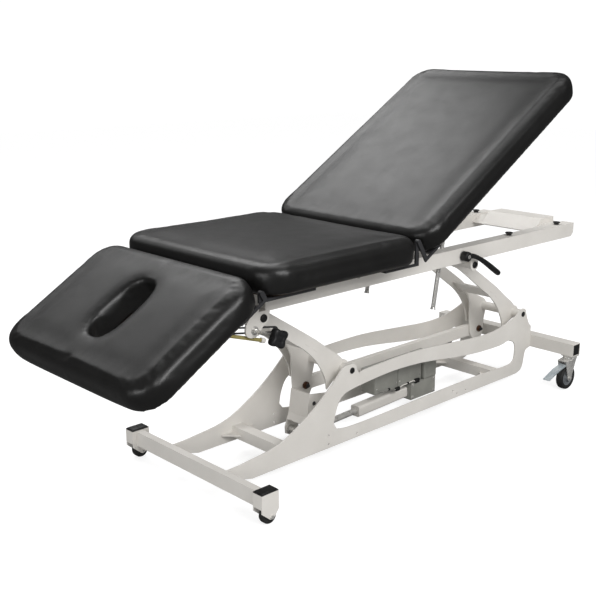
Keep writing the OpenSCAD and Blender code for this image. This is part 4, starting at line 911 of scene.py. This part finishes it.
def base_welds():
    bm = bmesh.new()
    for _, s in SIDES:
        for y in (PLATE_IN, PLATE_OUT):
            for x, (z0, z1) in ((FRONT_BAR + TOE, PLATE_FRONT_Z), (REAR_BAR - TOE, PLATE_REAR_Z)):
                add_bead(bm, at(x, s * y, z0), at(x, s * y, z1), MIDDLE_BEAD)
        y = s * (PLATE_IN - TOE)
        for x0, x1 in LOW_TUBES:
            for z in LOW_TUBE_Z:
                add_bead(bm, at(x0, y, z), at(x1, y, z), FINE_BEAD)
            for x in (x0, x1):
                add_bead(bm, at(x, y, LOW_TUBE_Z[0]), at(x, y, LOW_TUBE_Z[1]), FINE_BEAD)
        y = s * (POST_Y[0] - TOE)
        for z in FRONT_BAR_Z:
            add_bead(bm, at(1, y, z), at(FRONT_BAR - 1, y, z), FINE_BEAD)
        add_bead(bm, at(TOE, y, FRONT_BAR_Z[0]), at(TOE, y, FRONT_BAR_Z[1]), FINE_BEAD)
    mesh_object("base_weld_beads", bm, "base", "white_powder_coat", WELD_SHARP)


def arm_welds():
    along_y = (0, 1, 0)
    for body, low, top in ARMS:
        bm = bmesh.new()
        for _, s in SIDES:
            for x, z, r in ((*low, LOW_HUB + TOE), (*top, TOP_HUB + TOE)):
                for y in (ARM_PLATE_Y[0] - TOE, ARM_PLATE_Y[1] + TOE):
                    add_weld(bm, at(x, s * y, z), along_y, r, BROAD_BEAD)
        for y in (CRANK_Y[0] - TUCK, CRANK_Y[1] + TUCK):
            add_weld(bm, at(low[0], y, low[1]), along_y, LOW_HUB + TOE, MIDDLE_BEAD)
        mesh_object(body + "_weld_beads", bm, body, "white_powder_coat", WELD_SHARP)


def top_welds():
    bm = bmesh.new()
    out, base = LUG_OUT + TOE, RAIL_BASE - TUCK
    for (x0, x1), y in ((REAR_LUG_X, -out), (REAR_LUG_X, out), (FRONT_LUG_X, out),
                        (CLAMP_LUG_X, -out)):
        add_bead(bm, at(x0, y, base), at(x1, y, base), MIDDLE_BEAD)
    for _, s in SIDES:
        y = s * (RAIL_IN - TUCK)
        add_bead(bm, at(MEMBER_X, y, MEMBER_Z[0]), at(MEMBER_X, y, MEMBER_Z[1]), FINE_BEAD)
    mesh_object("top_weld_beads", bm, "top_frame", "white_powder_coat", WELD_SHARP)


# Slots of the arm plates with the welded tabs of their cross pieces

TABS = ((-320, 214), (-156.5, 112), (-121, 86))
TAB_LONG, TAB_WIDE = 20, 5
TAB_FROM, TAB_TO = ARM_PLATE_Y[1] - 0.5, ARM_PLATE_Y[1] + 0.7


def tab_outline():
    """A slot outline with round ends, about its middle."""
    half = (TAB_LONG - TAB_WIDE) / 2
    pts = []
    for end in (1, -1):
        for k in range(7):
            t = math.radians(-90 + 30 * k) + (0 if end > 0 else math.pi)
            pts.append((end * half + TAB_WIDE / 2 * math.cos(t), TAB_WIDE / 2 * math.sin(t)))
    return pts


def on_arm(pivot, tab):
    """Gives the function that places a tab's outline on an arm that leans by ARM_LEAN."""
    lean = math.radians(ARM_LEAN)
    c, s = math.cos(lean), math.sin(lean)
    x, z = pivot[0] + tab[0], pivot[1] + tab[1]
    return lambda a, b, level: at(x - a * c - b * s, level, z + a * s - b * c)


def arm_tabs():
    for body, pivot, _ in ARMS:
        bm = bmesh.new()
        for tab in TABS:
            for _, s in SIDES:
                add_prism(bm, tab_outline(), s * TAB_FROM, s * TAB_TO, on_arm(pivot, tab))
        mesh_object(body + "_tabs", bm, body, "white_powder_coat", 40)


# Gussets with cut tips at the ends of the low cross tubes

GUSSET_LONG = 46
GUSSET_TIP = 5
GUSSET_Y = 84
GUSSET_Z = (70, 74)


def gussets():
    bm = bmesh.new()
    for x0, x1 in LOW_TUBES:
        for x, way in ((x1, 1), (x0, -1)):
            far = x + way * GUSSET_LONG
            for _, s in SIDES:
                outline = [(x - way, s * PLATE_IN), (far, s * PLATE_IN),
                           (far, s * (PLATE_IN - GUSSET_TIP)),
                           (x + way * GUSSET_TIP, s * GUSSET_Y), (x - way, s * GUSSET_Y)]
                add_prism(bm, outline, *GUSSET_Z, at)
    mesh_object("cross_tube_gussets", bm, "base", "white_powder_coat", 40)


# Bolts and screws; the sizes are across flats, height and washer thickness

TIE_BOLT = (9, 6, 1)
DRIVE_NUT = (19, 6, 2)
CLEVIS_BOLT = (8, 4.5, 1)
GEAR_BOLT = (8, 3.4, 0.8)
SCREW = (10, 4, 1.2)
DOWN = (0, 0, -1)
TIE_PIN = (-31, -93)
TIE_BOLT_Y = 44
DRIVE_PIN = (452, 50)
DRIVE_NUT_Y = ((-30, -1), (62, 1))
CLEVIS_FACE, DRIVE_FACE = -30, -38
CLEVIS_BOLTS = ((482, 158), (498, 126))
GEAR_BOLT_X, GEAR_BOLT_Z = (981, 1103), (49, 97)
SEAT_BAR_X, SEAT_BAR_Y = (180, 200, 510, 530), (40, 120)
SEAT_BOARD_X, SEAT_BOARD_Y, SEAT_BOARD_Z = (258, 392), 318, 661
# name, body, section, places along it and the distance from its middle
FRAME_SCREWS = (("head_frame_screws", "head_section", HEAD, (90, 300), 170),
                ("back_frame_screws", "back_section", BACK, (180, 420, 760), 196))
PROP_PIN = (1011.3, 853.6)
PROP_Y = 160
PIN_REACH = 8.5
PIN_HEAD = [(0, 0), (0, 4.9), (1.1, 4.9), (1.1, 8), (3.4, 8), (4, 7), (4, 0)]
PIN_CLIP = [(0, 0), (0, 4.9), (1.1, 4.9), (1.1, 6.8), (1.6, 6.6), (1.6, 0)]


def hardware():
    for body, pivot, _ in ARMS:
        place = at(pivot[0] + TIE_PIN[0], TIE_BOLT_Y, pivot[1] + TIE_PIN[1])
        hex_piece(body + "_tie_bolt", body, "dark_steel", [(place, NEARWARD, *TIE_BOLT)])
    hex_piece("drive_pin_nuts", "drive_rod", "zinc_steel",
              [(at(DRIVE_PIN[0], y, DRIVE_PIN[1]), (0, way, 0), *DRIVE_NUT) for y, way in DRIVE_NUT_Y])
    hex_piece("clevis_bolts", "front_arm", "dark_steel",
              [(at(x, CLEVIS_FACE, z), NEARWARD, *CLEVIS_BOLT) for x, z in CLEVIS_BOLTS])
    hex_piece("gear_housing_bolts", "drive", "zinc_steel",
              [(at(x, DRIVE_FACE, z), NEARWARD, *GEAR_BOLT)
               for x in GEAR_BOLT_X for z in GEAR_BOLT_Z])
    hex_piece("seat_bar_screws", "top_frame", "zinc_steel",
              [(at(x, s * y, RAIL_TOP), DOWN, *SCREW)
               for x in SEAT_BAR_X for y in SEAT_BAR_Y for _, s in SIDES])
    hex_piece("seat_board_screws", "top_frame", "zinc_steel",
              [(at(x, s * SEAT_BOARD_Y, SEAT_BOARD_Z), DOWN, *SCREW)
               for x in SEAT_BOARD_X for _, s in SIDES])
    for name, body, section, reach, y in FRAME_SCREWS:
        down = section.turn @ Vector(DOWN)
        hex_piece(name, body, "zinc_steel",
                  [(section.world(u, s * y, BOARD_LOW - CUSHION_BASE), down, *SCREW)
                   for u in reach for _, s in SIDES])
    pins = [(at(PROP_PIN[0], s * (PROP_Y + way * PIN_REACH), PROP_PIN[1]), (0, s * way, 0), end)
            for _, s in SIDES for way, end in ((-1, PIN_HEAD), (1, PIN_CLIP))]
    lathe_piece("prop_pin_heads", "back_props", "zinc_steel", pins)


# Lift drive: moulded housings, connectors and clipped leads, as (low, high, edge radius)

SPLIT_X = 897
SPLIT_GAP = 0.6
HOUSINGS = (((773, DRIVE_FACE, 110), (SPLIT_X - SPLIT_GAP, 32, 200), 4),
            ((SPLIT_X + SPLIT_GAP, DRIVE_FACE, 110), (1029, 32, 200), 4),
            ((778, -34, 114), (1024, 28, 196), 2),
            ((1040, -44, 106.2), (1112, 36, 200), 7),
            ((1026, -23, 120), (1043, 17, 190), 3),
            ((977, -28, 105.5), (1024, 22, 112), 2),
            ((1052, -44.6, 128), (1100, -40, 178), 1.5))
PLUGS = (((988, -46, 104), (1012, -37, 121), 2),
         ((880, -46, 100), (903, -37, 114), 2),
         ((946, -43.4, 110), (954, -37.5, 118), 1),
         ((842, -43.4, 113), (850, -37.5, 121), 1))
CASE_SCREW = [(0, 0), (0, 3.4), (0.8, 3.2), (1.1, 2.2), (1.1, 0)]
CASE_SCREW_X, CASE_SCREW_Z = (783, 887, 907, 1019), (132, 190)
LEAD_RADIUS = 2.2
LEADS = {
    "lead_white": ("white_powder_coat", [(990, -42, 112), (978, -40.5, 116), (950, -40.3, 114),
                                         (925, -40.3, 113), (908, -41, 110), (900, -43, 108)]),
    "lead_grey": ("grey_housing", [(882, -42, 106), (868, -40.5, 113), (846, -40.3, 117),
                                   (822, -40.3, 116), (800, -40.3, 120), (790, -38, 126)]),
}


def placed(blocks):
    """Blocks given in mm, at their places in the row frame."""
    return [(at(*low), at(*high), radius) for low, high, radius in blocks]


def drive_details():
    parts = placed(HOUSINGS)
    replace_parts(rounded_piece("drive_housings", "drive", "grey_housing", parts), "control_box")
    rounded_piece("drive_plugs", "drive", "black_plastic", placed(PLUGS))
    lathe_piece("drive_case_screws", "drive", "zinc_steel",
                [(at(x, DRIVE_FACE, z), NEARWARD, CASE_SCREW)
                 for x in CASE_SCREW_X for z in CASE_SCREW_Z], 20)
    for name, (slot_name, places) in LEADS.items():
        bm = bmesh.new()
        add_tube(bm, curve_through([at(*p) for p in places], 8), LEAD_RADIUS, 12)
        mesh_object(name, bm, "drive", slot_name, 80)


pivot_caps()
head_clamp()
clamp_lever()
bumpers()
post_fittings()
casters()
rear_bar_caps()
base_welds()
arm_welds()
top_welds()
arm_tabs()
gussets()
hardware()
drive_details()


# Floor, light and background

FLOOR_REACH = 12
FLOOR_SINK = 0.0005
FLOOR_TONE = 0.36
FLOOR_MIRRORED = 0.07
FLOOR_SHINE = 0.035
FLOOR_GLOW = 0.78
WORLD_SEEN = 1.05
WORLD_FILL = 0.62
WORLD_MIRRORED = 0.07
# place, the point it faces, its sides in metres and its power in watts
LAMPS = {
    "key": ((-0.6, -3.6, 2.9), (0.1, 0, 0.35), (2.6, 1.6), 112),
    "left": ((-3.6, -0.8, 1.0), (0, 0, 0.3), (2.0, 1.2), 30),
    "overhead": ((0.2, 0.2, 3.6), (0, 0, 0.5), (3.0, 2.0), 38),
    "behind": ((0.9, 2.8, 3.7), (0.35, 0, 0.95), (2.6, 1.6), 48),
    "behind_head": ((-0.85, 2.8, 2.5), (-0.85, 0, 0.6), (1.6, 1.4), 8.5),
    "backdrop": ((3.2, 3.2, 1.7), (0, 0, 0.7), (6.0, 2.6), 3.5),
}


def add_math(tree, operation, value=None):
    n = tree.nodes.new("ShaderNodeMath")
    n.operation = operation
    if value is not None:
        n.inputs[1].default_value = value
    return n


def add_floor():
    """White where the camera sees it, a soft tone under the lamps, dim in reflections."""
    bm = bmesh.new()
    bmesh.ops.create_grid(bm, x_segments=1, y_segments=1, size=FLOOR_REACH)
    floor = object_from("floor", bm)
    floor.location.z = -FLOOR_SINK
    m, t, s = new_material("floor_white")
    s.inputs["Roughness"].default_value = 0.9
    s.inputs["Specular IOR Level"].default_value = 0.1
    rays = t.nodes.new("ShaderNodeLightPath")
    tone = t.nodes.new("ShaderNodeMapRange")
    tone.inputs["To Min"].default_value = FLOOR_TONE
    tone.inputs["To Max"].default_value = FLOOR_MIRRORED
    link(t, rays, "Is Glossy Ray", tone, "Value")
    link(t, tone, "Result", s, "Base Color")
    shine = add_math(t, "MULTIPLY", FLOOR_SHINE)
    link(t, rays, "Is Glossy Ray", shine, 0)
    glow = add_math(t, "MULTIPLY_ADD", FLOOR_GLOW)
    link(t, rays, "Is Camera Ray", glow, 0)
    link(t, shine, 0, glow, 2)
    s.inputs["Emission Color"].default_value = (1, 1, 1, 1)
    link(t, glow, 0, s, "Emission Strength")
    floor.data.materials.append(m)


def add_world():
    """White where the camera sees it, a softer fill for the lighting, dim in reflections."""
    world = bpy.data.worlds.new("studio")
    world.use_nodes = True
    t = world.node_tree
    rays = t.nodes.new("ShaderNodeLightPath")
    seen = add_math(t, "MAXIMUM")
    link(t, rays, "Is Camera Ray", seen, 0)
    link(t, rays, "Is Transmission Ray", seen, 1)
    lit = add_math(t, "MULTIPLY_ADD", WORLD_SEEN - WORLD_FILL)
    lit.inputs[2].default_value = WORLD_FILL
    link(t, seen, 0, lit, 0)
    level = add_math(t, "MULTIPLY_ADD", WORLD_MIRRORED - WORLD_FILL)
    link(t, rays, "Is Glossy Ray", level, 0)
    link(t, lit, 0, level, 2)
    back = t.nodes["Background"]
    back.inputs["Color"].default_value = (1, 1, 1, 1)
    link(t, level, 0, back, "Strength")
    bpy.context.scene.world = world


def add_area(name, place, target, size, power):
    data = bpy.data.lights.new(name, "AREA")
    data.shape = "RECTANGLE"
    data.size, data.size_y = size
    data.energy = power
    lamp = bpy.data.objects.new(name, data)
    lamp.location = place
    lamp.rotation_euler = (Vector(target) - Vector(place)).to_track_quat("-Z", "Y").to_euler()
    bpy.context.scene.collection.objects.link(lamp)


add_floor()
add_world()
for name, lamp in LAMPS.items():
    add_area(name, *lamp)
bpy.context.scene.view_settings.view_transform = "Standard"
